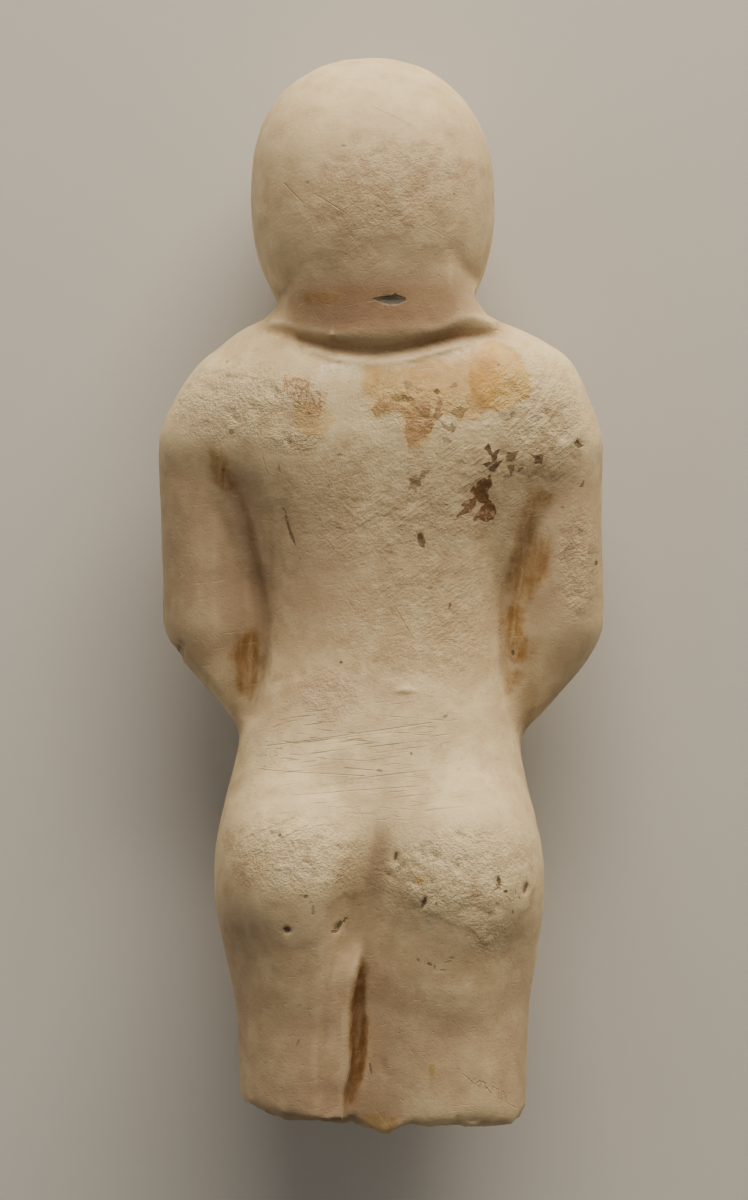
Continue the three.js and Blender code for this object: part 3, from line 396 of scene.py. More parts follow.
# What lies on the stone, with some painted light and shade among it. Outlines are (strength, [(x, y), ...]), ovals (x,
# y, half width, half height, turn, strength), lines (x, y, half width, strength).
weatheringAndPaintedLight = {
    "ochre": [
        (0.8, [(18.4, 45.0), (20.8, 45.7), (23.2, 44.8), (25.1, 43.3), (26.1, 41.2), (27.4, 39.4), (27.6, 37.1),
               (26.8, 35.3), (24.9, 34.5), (23.1, 33.5), (20.5, 32.6), (18.3, 33.3), (16.8, 35.1), (16.1, 38.4),
               (16.5, 42.1)]),
        (1, [(21.3, 37.4), (23.9, 38.3), (26.1, 37.5), (26.2, 35.3), (24.2, 34.5), (22.3, 33.7), (20.1, 32.9),
             (19.0, 33.8), (20.1, 35.5)]),
        (0.45, [(-15.6, 34.7), (-11.5, 33.9), (-9.4, 32.5), (-8.6, 31.0), (-10.8, 28.5), (-13.0, 27.8),
                (-14.8, 29.2), (-15.9, 32.2)]),
        (0.5, [(-14.0, 54.5), (-11.2, 53.9), (-6.5, 53.3), (-6.7, 52.2), (-10.9, 52.0), (-13.9, 52.6)]),
        (0.5, [(-3.2, -95.6), (0.4, -95.2), (3.0, -96.4), (1.4, -98.6), (-1.6, -98.4)]),
        (0.7, [(8.6, -86.2), (9.3, -86.0), (9.5, -87.6), (9.0, -88.0)]),
        (0.7, [(6.6, -51.2), (7.3, -51.4), (7.2, -52.6), (6.5, -52.6)]),
    ],
    "tan": [
        (0.95, [(-2.8, 40.5), (3.4, 39.8), (8.8, 42.0), (12.5, 41.3), (16.5, 43.6), (19.9, 43.7), (21.7, 40.3),
                (19.8, 34.8), (17.6, 31.8), (14.6, 31.1), (11.7, 33.2), (9.2, 30.3), (8.1, 27.7), (5.5, 26.8),
                (4.1, 28.6), (4.4, 31.0), (3.4, 32.8), (1.5, 33.5), (-1.0, 31.7), (-1.7, 33.0), (-0.6, 34.3),
                (-2.5, 35.7), (-3.2, 38.3)]),
    ],
    "rust": [
        (0.9, [(4.3, 32.8), (5.9, 33.0), (7.7, 34.3), (9.0, 34.7), (8.4, 31.7), (9.4, 30.3), (8.3, 28.5),
               (7.7, 27.4), (6.3, 27.7), (5.2, 26.6), (4.1, 28.5), (4.6, 30.6)]),
        (0.8, [(-1.7, 33.0), (-0.8, 34.3), (-0.1, 35.2), (0.4, 34.3), (2.6, 34.1), (4.3, 33.2), (3.7, 32.5),
               (1.5, 33.5), (0.4, 32.8), (-1.0, 31.7)]),
        (0.55, [(15.4, 35.8), (16.8, 36.5), (17.6, 38.0), (18.3, 35.8), (18.7, 34.0), (20.1, 34.0), (19.4, 32.9),
                (17.6, 32.2), (16.1, 33.6)]),
    ],
    "veined": [
        (0.9, [(-18.3, 38.4), (-17.2, 39.5), (-14.8, 38.9), (-13.8, 39.7), (-12.6, 37.6), (-11.5, 36.3),
               (-9.7, 36.1), (-10.1, 34.3), (-11.5, 31.2), (-12.6, 32.1), (-14.8, 33.8), (-15.9, 34.9),
               (-17.2, 35.6), (-17.9, 36.9)]),
    ],
    "redBrown": [
        (1, [(17.6, 20.0), (18.7, 20.4), (19.5, 20.1), (19.8, 21.0), (20.0, 19.2), (19.3, 18.8), (19.5, 16.6),
             (18.8, 16.1), (18.0, 16.4), (17.3, 17.7), (16.3, 18.2), (16.9, 19.1), (17.4, 18.8)]),
        (1, [(19.1, 16.6), (19.9, 16.5), (20.7, 15.6), (20.9, 14.3), (20.3, 13.2), (19.2, 12.9), (18.1, 13.2),
             (17.7, 14.2), (18.2, 15.2), (18.8, 15.9)]),
        (0.9, [(14.7, 15.7), (15.8, 16.6), (16.9, 16.8), (17.5, 17.5), (17.1, 15.7), (16.2, 14.8), (13.8, 13.7),
               (14.9, 14.8), (15.8, 15.5)]),
        (0.85, [(16.9, 13.1), (18.0, 14.8), (19.0, 15.7), (18.4, 14.4), (17.5, 13.3)]),
    ],
    "darkFlake": [
        (1, [(18.5, 25.8), (19.1, 26.2), (19.5, 26.8), (19.8, 25.8), (20.2, 24.8), (19.7, 24.9), (19.3, 25.7)]),
        (1, [(20.2, 24.6), (20.7, 25.3), (21.4, 25.8), (21.0, 24.8), (20.9, 24.0), (21.3, 23.5), (22.3, 24.1),
             (21.6, 23.2), (20.6, 21.9), (19.7, 22.3), (20.1, 22.8), (19.4, 22.7), (18.8, 23.1), (19.6, 23.5),
             (20.4, 23.4), (20.3, 24.0)]),
        (0.8, [(22.8, 24.0), (23.2, 25.2), (24.0, 25.2), (25.1, 25.6), (24.4, 24.8), (24.2, 24.1), (23.7, 23.8)]),
        (0.75, [(23.2, 23.0), (24.3, 23.0), (24.1, 22.1), (23.7, 21.3), (23.3, 22.3)]),
        (0.8, [(25.1, 21.9), (25.3, 22.4), (26.0, 22.6)]),
        (0.85, [(27.3, 25.1), (28.1, 24.9), (29.7, 25.1), (29.4, 23.4), (28.1, 23.5), (28.3, 24.4)]),
        (1, [(35.6, 27.2), (36.1, 27.9), (36.5, 27.3), (37.4, 26.9), (36.3, 26.4)]),
        (0.7, [(36.8, 19.4), (37.4, 20.4), (37.4, 19.6)]),
        (0.6, [(5.1, 20.5), (5.9, 20.2), (6.8, 20.1), (7.2, 19.3), (6.4, 19.1), (6.2, 18.2), (5.5, 18.9),
               (4.9, 18.5), (5.4, 19.6)]),
        (0.6, [(7.0, 20.4), (7.3, 21.6), (7.7, 22.0), (8.7, 21.8), (7.9, 21.3), (7.8, 20.6)]),
        (0.9, [(6.7, 10.3), (7.2, 10.6), (7.5, 9.8), (7.9, 8.9), (7.7, 8.1), (7.0, 8.4), (6.8, 9.3)]),
        (0.55, [(3.5, 35.7), (4.8, 35.5), (5.7, 35.0), (5.5, 34.6), (3.9, 35.1)]),
        (0.5, [(4.1, 38.1), (5.2, 38.1), (5.4, 37.2), (4.6, 36.8)]),
        (0.85, [(9.7, 36.3), (10.1, 36.7), (10.6, 36.3), (10.1, 35.9)]),
        (0.5, [(12.6, 37.2), (13.5, 37.8), (13.7, 37.4), (12.8, 37.0)]),
        (0.7, [(10.1, 33.9), (10.8, 34.7), (11.2, 34.1), (10.4, 33.0), (11.0, 32.1), (10.3, 31.2), (9.5, 31.6),
               (9.9, 32.7)]),
        (0.55, [(7.9, 30.8), (9.0, 31.0), (9.5, 30.3), (9.0, 29.6), (7.9, 29.9)]),
        (0.65, [(13.0, 33.0), (14.3, 33.6), (15.2, 33.1), (16.1, 33.3), (15.0, 32.5), (14.8, 31.4), (13.7, 31.6),
                (12.8, 32.3)]),
        (0.5, [(11.2, 27.9), (11.9, 27.9), (12.4, 27.2), (11.5, 27.2)]),
        (0.7, [(10.8, 30.8), (11.7, 30.1), (12.6, 29.6), (12.3, 29.2), (11.4, 29.8)]),
        (0.7, [(12.8, 30.5), (13.4, 29.8), (13.0, 29.0), (12.4, 29.6)]),
    ],
    "greyFlake": [
        (1, [(-1.8, 52.9), (-0.3, 53.3), (1.9, 53.5), (2.5, 54.0), (3.0, 53.6), (4.4, 53.2), (4.3, 52.5), (2.8, 51.9),
             (1.2, 51.9), (-0.5, 52.4)]),
    ],
    # brown that soaked in
    "soaked": [
        (0.85, [(-31.5, 25.9), (-28.9, 25.1), (-28.0, 22.9), (-27.1, 20.7), (-26.4, 18.2), (-27.7, 18.6),
               (-28.7, 17.2), (-29.8, 19.0), (-31.0, 21.2), (-31.4, 23.7)]),
        (0.75, [(27.0, 18.2), (29.3, 19.0), (31.7, 17.9), (31.1, 16.2), (28.9, 15.1), (28.2, 13.1), (28.6, 10.2),
                (30.4, 9.4), (31.2, 6.5), (30.5, 3.1), (29.0, 0.2), (27.5, -1.7), (25.0, -1.7), (24.0, 1.1),
                (24.6, 5.7), (25.7, 10.3), (26.6, 14.0)]),
        (1, [(22.5, -2.8), (25.0, -2.1), (26.3, -3.5), (26.5, -7.3), (28.3, -11.9), (26.1, -13.2), (24.2, -12.5),
                (23.5, -9.1)]),
        (0.85, [(23.5, -15.0), (25.2, -14.9), (25.6, -17.3), (23.9, -18.4)]),
        (1, [(-26.6, -8.4), (-24.0, -6.9), (-22.5, -9.1), (-22.1, -12.8), (-22.9, -16.5), (-24.0, -20.2),
               (-25.5, -20.3), (-27.0, -18.4), (-26.6, -15.6), (-27.7, -11.9)]),
        (1, [(-3.7, -67.5), (-2.8, -68.2), (-2.5, -69.8), (-2.8, -72.6), (-3.2, -74.4), (-2.6, -76.6), (-2.5, -79.9),
             (-2.6, -83.6), (-3.2, -85.8), (-3.7, -88.1), (-4.3, -91.2), (-5.2, -93.2), (-6.3, -93.2),
             (-6.5, -91.6), (-5.9, -89.4), (-5.2, -86.9), (-5.4, -83.6), (-5.6, -79.9), (-5.4, -75.9),
             (-4.8, -72.6), (-4.3, -69.8)]),
    ],
    # crease stains, and painted shade and shadow at the nape's lip and along the slot's left edge
    "creaseStainsAndShade": {
        # the wall under the lip: its brown, and painted shade where it faces away from the lamp
        "underLip": [
            (-20.6, 48.4, 0.5, 0.4), (-18.0, 47.8, 0.9, 0.5), (-13.6, 46.4, 1.1, 0.4), (-7.5, 44.7, 1.5, 0.35),
            (-2.4, 44.3, 1.6, 0.35), (3.4, 44.7, 1.4, 0.35), (7.0, 45.5, 1.1, 0.35), (10.6, 46.6, 1.0, 0.35),
            (14.2, 47.8, 0.9, 0.35), (19.7, 47.5, 0.6, 0.3)],
        # painted shade above the lip, where the cap turns down away from the lamp
        "aboveLip": [
            (-14.0, 52.0, 3.4, 0.35), (-5.0, 51.0, 4.2, 0.45), (3.0, 50.8, 4.2, 0.45), (10.5, 52.2, 3.4, 0.35)],
        # a painted shadow line along the foot of the wall under the lip
        "footOfLip": [
            (-20.6, 48.1, 0.3, 0.7), (-18.0, 47.3, 0.35, 0.9), (-13.6, 45.7, 0.3, 0.9), (-7.5, 43.7, 0.3, 1),
            (-2.4, 43.2, 0.35, 1), (3.4, 43.8, 0.35, 1), (7.0, 44.7, 0.35, 1), (10.6, 45.7, 0.35, 1),
            (14.2, 46.8, 0.35, 1), (19.7, 47.0, 0.2, 0.6)],
        "rightVein": [
            (27.3, 16.8, 0.25, 0.5), (26.4, 14.6, 0.3, 0.9), (25.5, 11.6, 0.3, 1), (24.6, 7.6, 0.3, 1),
            (23.7, 3.9, 0.25, 1), (23.5, -0.2, 0.2, 0.8)],
        "rightVeinInner": [
            (30.8, 8.5, 0.3, 0.4), (30.5, 6.1, 0.5, 0.7), (29.5, 2.9, 0.7, 0.8), (27.6, 1.6, 0.9, 0.9)],
        "rightEdge": [
            (22.0, -2.6, 0.2, 0.5), (22.5, -5.8, 0.3, 0.8), (23.1, -9.1, 0.3, 0.8), (23.1, -12.8, 0.2, 0.8),
            (23.5, -16.5, 0.3, 1), (23.5, -18.8, 0.25, 0.7)],
        "leftVein": [
            (-26.8, 19.3, 0.3, 0.8), (-25.7, 16.8, 0.3, 0.9), (-24.8, 14.0, 0.3, 1), (-24.3, 11.8, 0.5, 1),
            (-24.0, 9.4, 0.35, 0.9), (-23.4, 7.2, 0.5, 0.8), (-22.7, 4.8, 0.4, 0.6), (-22.1, 0.2, 0.3, 0.4),
            (-21.9, -5.4, 0.3, 0.5), (-22.1, -9.1, 0.3, 0.6)],
        "leftStreak": [(-30.2, 9.4, 0.15, 0.5), (-29.5, 7.6, 0.2, 0.6), (-29.1, 5.7, 0.15, 0.4)],
        # a painted shadow line under the slot's left wall
        "slotLeft": [
            (-3.5, -67.8, 0.2, 0.8), (-4.4, -71.6, 0.3, 1), (-5.1, -76.0, 0.3, 1), (-5.2, -80.0, 0.25, 0.9),
            (-5.1, -84.0, 0.3, 1), (-5.4, -88.0, 0.6, 1), (-6.0, -92.0, 0.4, 1)],
        "slotRight": [
            (-2.9, -76.5, 0.25, 0.9), (-2.8, -81.0, 0.4, 1), (-3.2, -85.0, 0.5, 1), (-4.2, -89.0, 0.4, 1)],
    },
    "cracks": {
        "flank": [
            (-18.2, 16.1, 0.06, 0.5), (-17.7, 14.1, 0.22, 0.9), (-17.1, 11.7, 0.2, 0.9), (-16.4, 9.7, 0.3, 0.8),
            (-15.7, 7.8, 0.12, 0.7), (-14.9, 5.6, 0.1, 0.6)],
        "flankUpper": [(-21.8, 25.3, 0.08, 0.4), (-21.3, 22.8, 0.15, 0.5), (-20.4, 20.6, 0.1, 0.3)],
        "flankInner": [(-18.1, 24.7, 0.08, 0.4), (-18.7, 22.4, 0.2, 0.5), (-18.3, 20.6, 0.1, 0.4)],
        "nape": [(-2.8, 41.8, 0.08, 0.7), (-1.2, 41.4, 0.10, 0.9), (0.5, 40.9, 0.10, 0.8), (2.3, 39.8, 0.06, 0.6)],
        "shoulderRight": [(31.0, 29.2, 0.1, 0.4), (34.0, 29.6, 0.2, 0.6), (36.6, 31.2, 0.1, 0.4)],
        "cap": [(-6.5, 64.2, 0.10, 0.5), (-6.5, 59.9, 0.14, 0.6)],
    },
    "specks": [
        (28.5, 24.2, 0.5, 0.4, 0, 0.4), (-38.3, -11.2, 0.5, 1.1, -30, 1), (-7.4, -13.1, 0.3, 0.3, 0, 1),
        (-0.4, -32.7, 0.7, 0.3, 0, 0.7), (5.4, -29.6, 0.3, 0.3, 0, 0.9), (11.6, -23.0, 0.5, 0.3, 30, 0.6),
        (-18.3, -44.1, 0.3, 0.3, 0, 0.9), (2.5, -48.1, 0.3, 0.8, -15, 0.9), (21.1, -52.2, 0.3, 0.7, 10, 1),
        (22.3, -54.2, 0.4, 0.3, 0, 1), (26.1, -54.0, 0.35, 1.1, -22, 0.9), (7.6, -56.0, 0.4, 1.1, -18, 1),
        (-6.4, -59.3, 0.3, 0.3, 0, 0.8), (-7.6, -60.4, 0.35, 0.9, -20, 0.9), (-8.6, -61.6, 0.5, 0.35, 0, 0.8),
        (-12.3, -57.5, 0.25, 0.9, 0, 0.5), (-13.6, -54.9, 0.3, 0.3, 0, 0.7), (8.7, -67.4, 0.5, 0.3, -20, 0.8),
        (6.6, -66.7, 0.25, 0.3, 0, 0.6), (12.7, -66.1, 0.5, 0.25, 0, 0.45), (11.1, -68.5, 0.5, 0.3, 0, 0.3),
        (-15.1, -81.8, 0.2, 0.7, -20, 0.4), (-2.0, -86.9, 0.2, 1.2, 8, 0.7), (20.7, -53.6, 0.6, 0.2, 30, 0.6),
        (11.8, 15.6, 0.4, 0.2, 0, 0.5), (12.5, -2.9, 0.2, 0.6, -10, 0.8), (23.6, -58.0, 0.2, 0.4, 0, 0.7),
        (9.8, -56.3, 0.2, 0.3, 0, 0.7), (-13.5, 73.9, 0.3, 0.3, 0, 0.5), (-7.0, 80.4, 0.4, 0.2, 0, 0.5),
        (7.1, 78.0, 0.3, 0.3, 0, 0.5), (-0.6, 69.3, 0.4, 0.3, 0, 0.4), (13.2, 72.0, 0.3, 0.3, 0, 0.4),
        (-17.0, -61.0, 0.7, 0.6, 0, 0.8), (40.0, 5.2, 0.3, 0.5, 0, 0.9), (33.5, 15.3, 0.4, 0.3, 0, 0.4),
        (24.4, -11.6, 0.25, 0.6, 0, 0.9), (-29.0, 22.2, 0.25, 0.3, 0, 0.8), (-27.4, 29.0, 0.5, 0.6, 0, 0.5),
        (-28.5, 42.2, 0.25, 0.25, 0, 0.6), (-19.3, 35.3, 0.5, 0.4, 0, 0.6), (-7.6, 24.6, 0.6, 0.3, 0, 0.4),
        (-9.6, 18.8, 0.3, 0.4, 0, 0.4), (-7.8, 11.4, 0.6, 0.25, 0, 0.5), (21.4, 41.2, 0.2, 0.25, 0, 0.6),
        (5.2, 9.0, 0.25, 0.2, 0, 0.5), (9.0, 0.4, 0.5, 0.25, 20, 0.4),
    ],
    # single scratches: (x, y) to (x, y), half width
    "scratches": [
        ((-17.8, 74.2), (-14.2, 70.2), 0.10), ((-12.6, 72.1), (-6.4, 68.1), 0.09),
        ((20.9, 48.0), (24.6, 47.7), 0.12), ((14.9, -87.9), (24.8, -94.5), 0.06),
        ((13.7, -86.3), (23.2, -91.7), 0.06), ((-24.8, -44.7), (-15.8, -40.9), 0.06),
        ((-24.2, -47.7), (-12.8, -41.9), 0.06), ((-21.0, -28.4), (9.5, -24.0), 0.09),
        ((-22.5, -32.6), (-3.0, -33.6), 0.08), ((-16.0, -37.0), (7.0, -35.4), 0.07),
        ((2.5, -3.0), (6.0, -9.0), 0.07), ((-2.0, 88.0), (6.0, 84.0), 0.05), ((8.0, 66.0), (16.0, 62.5), 0.05),
    ],
    # by region: (x, y, half width, half height, turn, strength)
    "combed": [
        (24, 27, 16, 12, 20, 1), (6, 12, 18, 18, 0, 0.7), (14, -6, 10, 14, 0, 0.6), (-2, 69, 20, 12, 0, 0.4),
        (36, 5, 4, 11, 0, 0.8), (-18, -44, 9, 6, 0, 0.6)],
    "scored": [(-6, -28, 19, 8, 4, 1), (-14, -41, 10, 4, 20, 0.6), (4, -38, 12, 4, 0, 0.5)],
    # glossy patches: the stone is smoother there, and the same mask paints a whiter highlight into its colour
    "glossAndPaintedHighlight": [
        (-7.7, 39.8, 6.2, 3.2, 5, 1), (14.9, 43.2, 4.6, 2.2, 5, 0.75), (-24.0, 35.8, 10.9, 6.4, 0, 0.5),
        (10.8, 38.3, 16.3, 6.2, 0, 0.4)],
    # brown patina, and painted shade: the flats of the arms, thighs and legs and the band above the nape's lip are
    # browned darker
    "brownAndPaintedShade": [
        (0, 75, 26, 20, 0, 0.4), (0, 51.5, 20, 8, 0, 1), (-36, 4, 8, 26, 0, 0.7), (-26, 2, 6, 22, 0, 0.95),
        (33, 2, 9, 24, 0, 0.7), (-14, -80, 14, 16, 0, 0.7), (-27, -72, 5, 24, 0, 0.6), (-3, -79, 9, 17, 0, 0.8),
        (14, -82, 14, 14, 0, 0.4), (-12, -93, 15, 7, 0, 1), (24, -80, 5, 18, 0, 0.5), (-1, -50, 2.4, 7, -8, 0.35),
        (-13, 6, 8, 14, 0, 0.35)],
    # paler stone, and painted light: the shoulders, back and buttocks are painted paler where the lamp lights them most
    "paleAndPaintedLight": [
        (2, 26, 24, 15, 0, 1), (0, -33, 28, 13, 0, 1), (-14, -44, 12, 9, 0, 0.8), (14, -50, 15, 13, 0, 1),
        (-32, 34, 12, 10, 0, 0.9), (33, 33, 10, 11, 0, 0.8), (0, 90, 18, 8, 0, 0.5)],
    "pink": [
        (-9.6, -20, 6.5, 5, 0, 0.7), (-0.9, -50, 2.2, 7, -8, 0.5), (-9.8, 3.9, 10, 16, 0, 0.3),
        (-33, 31, 5, 3, 0, 0.5), (0, 49.5, 16, 3.5, 0, 0.6), (-13, -60, 10, 5, 0, 0.35)],
    # how widely the skin is averaged to find its small and its broad hollows
    "hollowRounds": {"hollow": 12, "deepHollow": 90},
}


def refineNear(thing, outlines, plan):
    # smaller faces round the small sharp marks, so that their edges stay crisp
    for _ in range(plan["rounds"]):
        centres = readVectors(thing.data.polygons, "center") * 1000
        depth = outlineDepth(centres, outlines)[0]
        chosen = (depth > -plan["reach"]) & (centres[:, 2] > plan["above"])
        pickOnly(thing)
        bpy.ops.object.mode_set(mode="EDIT")
        bpy.ops.mesh.select_mode(type="FACE")
        bpy.ops.mesh.select_all(action="DESELECT")
        bpy.ops.object.mode_set(mode="OBJECT")
        thing.data.polygons.foreach_set("select", chosen)
        bpy.ops.object.mode_set(mode="EDIT")
        bpy.ops.mesh.subdivide(number_cuts=1)
        bpy.ops.mesh.select_all(action="SELECT")
        bpy.ops.mesh.quads_convert_to_tris()
        bpy.ops.object.mode_set(mode="OBJECT")


def writeNumber(mesh, name, values):
    mesh.attributes.new(name, "FLOAT", "POINT").data.foreach_set("value", values.astype(np.float32))


def writeVector(mesh, name, values):
    mesh.attributes.new(name, "FLOAT_VECTOR", "POINT").data.foreach_set("vector", values.astype(np.float32).ravel())


def pathsDepth(points, paths):
    depth, strength = np.full(len(points), -farAway["stain"]), np.zeros(len(points))
    for path in paths:
        away, _, extra = nearPath(points, path)
        inside = extra[:, 0] - away
        deeper = inside > depth
        depth[deeper], strength[deeper] = inside[deeper], extra[:, 1][deeper]
    return depth, strength


def nearestMark(points, marks):
    # where each point lies in the frame of its nearest mark, 1 being the mark's rim
    offset = np.tile([0.0, 0.0, farAway["speck"]], (len(points), 1))
    strength = np.zeros(len(points))
    best = np.full(len(points), 2.4)
    for x, y, wide, tall, turn, force in marks:
        c, s = math.cos(math.radians(turn)), math.sin(math.radians(turn))
        dx, dy = points[:, 0] - x, points[:, 1] - y
        across, up = dx * c + dy * s, dy * c - dx * s
        away = np.hypot(dx, dy)
        closer = away < best
        best[closer] = away[closer]
        offset[closer] = np.column_stack([across / wide, up / tall, np.zeros(len(points))])[closer]
        strength[closer] = force
    return offset, strength


def nearestScratch(points, lines):
    offset = np.tile([0.0, 0.0, farAway["scratch"]], (len(points), 1))
    best = np.full(len(points), 1.6)
    for start, end, wide in lines:
        start, end = np.array(start), np.array(end)
        length = np.hypot(*(end - start))
        run = (end - start) / length
        d = points[:, :2] - start
        along, across = d @ run, d @ np.array([-run[1], run[0]])
        beyond = np.maximum(np.maximum(-along, along - length), 0)
        away = np.hypot(across, beyond)
        closer = away < best
        best[closer] = away[closer]
        offset[closer] = np.column_stack([across / wide, beyond / wide, np.zeros(len(points))])[closer]
    return offset


def hollows(mesh, points, normals, rounds):
    # how far each point lies under the skin's own running average, in millimetres
    edges = np.empty(len(mesh.edges) * 2, np.int64)
    mesh.edges.foreach_get("vertices", edges)
    a, b = edges[0::2], edges[1::2]
    count = np.bincount(a, minlength=len(points)) + np.bincount(b, minlength=len(points))
    smooth = points.copy()
    for _ in range(rounds):
        total = np.zeros_like(smooth)
        for axis in range(3):
            total[:, axis] = (np.bincount(a, smooth[b, axis], len(points))
                              + np.bincount(b, smooth[a, axis], len(points)))
        smooth = 0.4 * smooth + 0.6 * total / count[:, None]
    return ((smooth - points) * normals).sum(axis=1)


def paintWeatheringAndLight(mesh, plan):
    points = readVectors(mesh.vertices, "co") * 1000
    normals = readVectors(mesh.vertex_normals, "vector")
    onBack = softStep(-0.1, 0.25, normals[:, 2]) * softStep(12, 18, points[:, 2])

    def writeDepth(name, depth, strength):
        writeVector(mesh, name, np.column_stack([depth - farAway["stain"] * (1 - onBack), strength, strength]))

    for name in ("ochre", "tan", "rust", "veined", "redBrown", "darkFlake", "greyFlake", "soaked"):
        writeDepth(name, *outlineDepth(points, plan[name]))
    for name in ("creaseStainsAndShade", "cracks"):
        writeDepth(name, *pathsDepth(points, plan[name].values()))
    offset, strength = nearestMark(points, plan["specks"])
    offset[:, 2] += farAway["speck"] * (1 - onBack)
    writeVector(mesh, "specks", offset)
    writeNumber(mesh, "speckStrength", strength)
    offset = nearestScratch(points, plan["scratches"])
    offset[:, 2] += farAway["scratch"] * (1 - onBack)
    writeVector(mesh, "scratches", offset)
    for name in ("combed", "scored", "glossAndPaintedHighlight", "brownAndPaintedShade", "paleAndPaintedLight", "pink"):
        writeNumber(mesh, name, onBack * spread(points, plan[name]))
    writeNumber(mesh, "eroded", onBack * spread(points, carving["eroded"]))
    # the broken end is rough all over, so less of its roughness is darkened as dirt and painted shade
    calmer = 1 - 0.65 * softStep(-0.5, -0.8, normals[:, 1]) * softStep(-90, -95, points[:, 1])
    for name, rounds in plan["hollowRounds"].items():
        writeNumber(mesh, name, calmer * hollows(mesh, points, normals, rounds))


smallMarks = weatheringAndPaintedLight["redBrown"] + weatheringAndPaintedLight["darkFlake"] + weatheringAndPaintedLight["greyFlake"]
refineNear(stone, smallMarks, stoneSkin["refine"])
writePlaces(stone.data, keepInBox(readVectors(stone.data.vertices, "co") * 1000, *cadBox))
pickOnly(stone)
bpy.ops.object.shade_smooth()
paintWeatheringAndLight(stone.data, weatheringAndPaintedLight)
print("stone: weathered, now", len(stone.data.polygons), "faces")

limestone = {
    "cream": (0.60, 0.445, 0.26, 1),
    "warm": (0.52, 0.372, 0.21, 1),
    "chalk": (0.80, 0.65, 0.395, 1),
    "freckle": (0.31, 0.205, 0.12, 1),
    # the brown of the patina and the pits, also the colour of the painted shade on the flats
    "patinaAndPaintedShade": (0.35, 0.235, 0.145, 1),
    "rose": (0.50, 0.335, 0.24, 1),
    # the dark of the dirt and painted shade in hollows
    "dirtAndShade": (0.23, 0.15, 0.085, 1),
    # the whiter colour of the painted highlight on the glossy patches
    "paintedHighlight": (0.90, 0.82, 0.63, 1),
    # laid over the stone like a glaze
    "ochreGlaze": (0.84, 0.66, 0.25, 1),
    "tanGlaze": (0.87, 0.72, 0.46, 1),
    "soakedGlaze": (0.58, 0.42, 0.20, 1),
    # the glaze of the crease stains and of the painted shade and shadow
    "creaseStainAndShadeGlaze": (0.84, 0.68, 0.52, 1),
    "rust": (0.42, 0.235, 0.11, 1),
    "redBrown": (0.19, 0.085, 0.032, 1),
    "darkFlake": (0.125, 0.073, 0.036, 1),
    "speck": (0.10, 0.068, 0.045, 1),
    "greyFlake": (0.10, 0.095, 0.08, 1),
    "roughness": 0.64,
    # a stain's edge: raggedness, softness, spottiness (0 to 1), growth; all but the third in millimetres
    "edges": {
        "tan": (2.4, 1.0, 0.2, 0.6), "ochre": (1.4, 0.35, 0.15, 0.2), "rust": (1.6, 0.15, 0.25, 0.15),
        "veined": (1.8, 0.3, 0, 0), "soaked": (2.4, 1.2, 0, 0), "creaseStainsAndShade": (1.1, 0.7, 0, 0),
        "darkFlake": (0.7, 0.08, 0, 0.12), "redBrown": (0.8, 0.08, 0, 0.18), "greyFlake": (0.3, 0.06, 0, 0),
        "cracks": (0.25, 0.12, 0, 0),
    },
    # how strongly each layer of colour shows
    "amounts": {
        "chalky": 0.6, "paleAndPaintedLight": 0.9, "patinaAndPaintedShade": 0.88, "rose": 0.7, "paintedHighlight": 0.5, "freckles": 0.26, "grain": 0.18,
        "crumbs": 0.6, "pits": 0.42, "dirtAndShade": 0.26, "deepDirtAndShade": 0.18, "rubbed": 0.5, "flakes": 0.9,
        "redBrown": 0.96, "cracks": 0.75, "specks": 0.8, "scratches": 0.45, "hairs": 0.12, "scoring": 0.5,
        "combing": 0.45,
    },
    # relief in millimetres
    "relief": {
        "grain": 0.05, "small": 0.07, "crumbs": 0.50, "combing": 0.30, "scoring": -0.12, "pores": -0.03,
        "specks": -0.16, "greyFlake": -0.10, "flakes": 0.08, "scratches": -0.07, "hairs": -0.02, "rust": 0.08,
    },
}


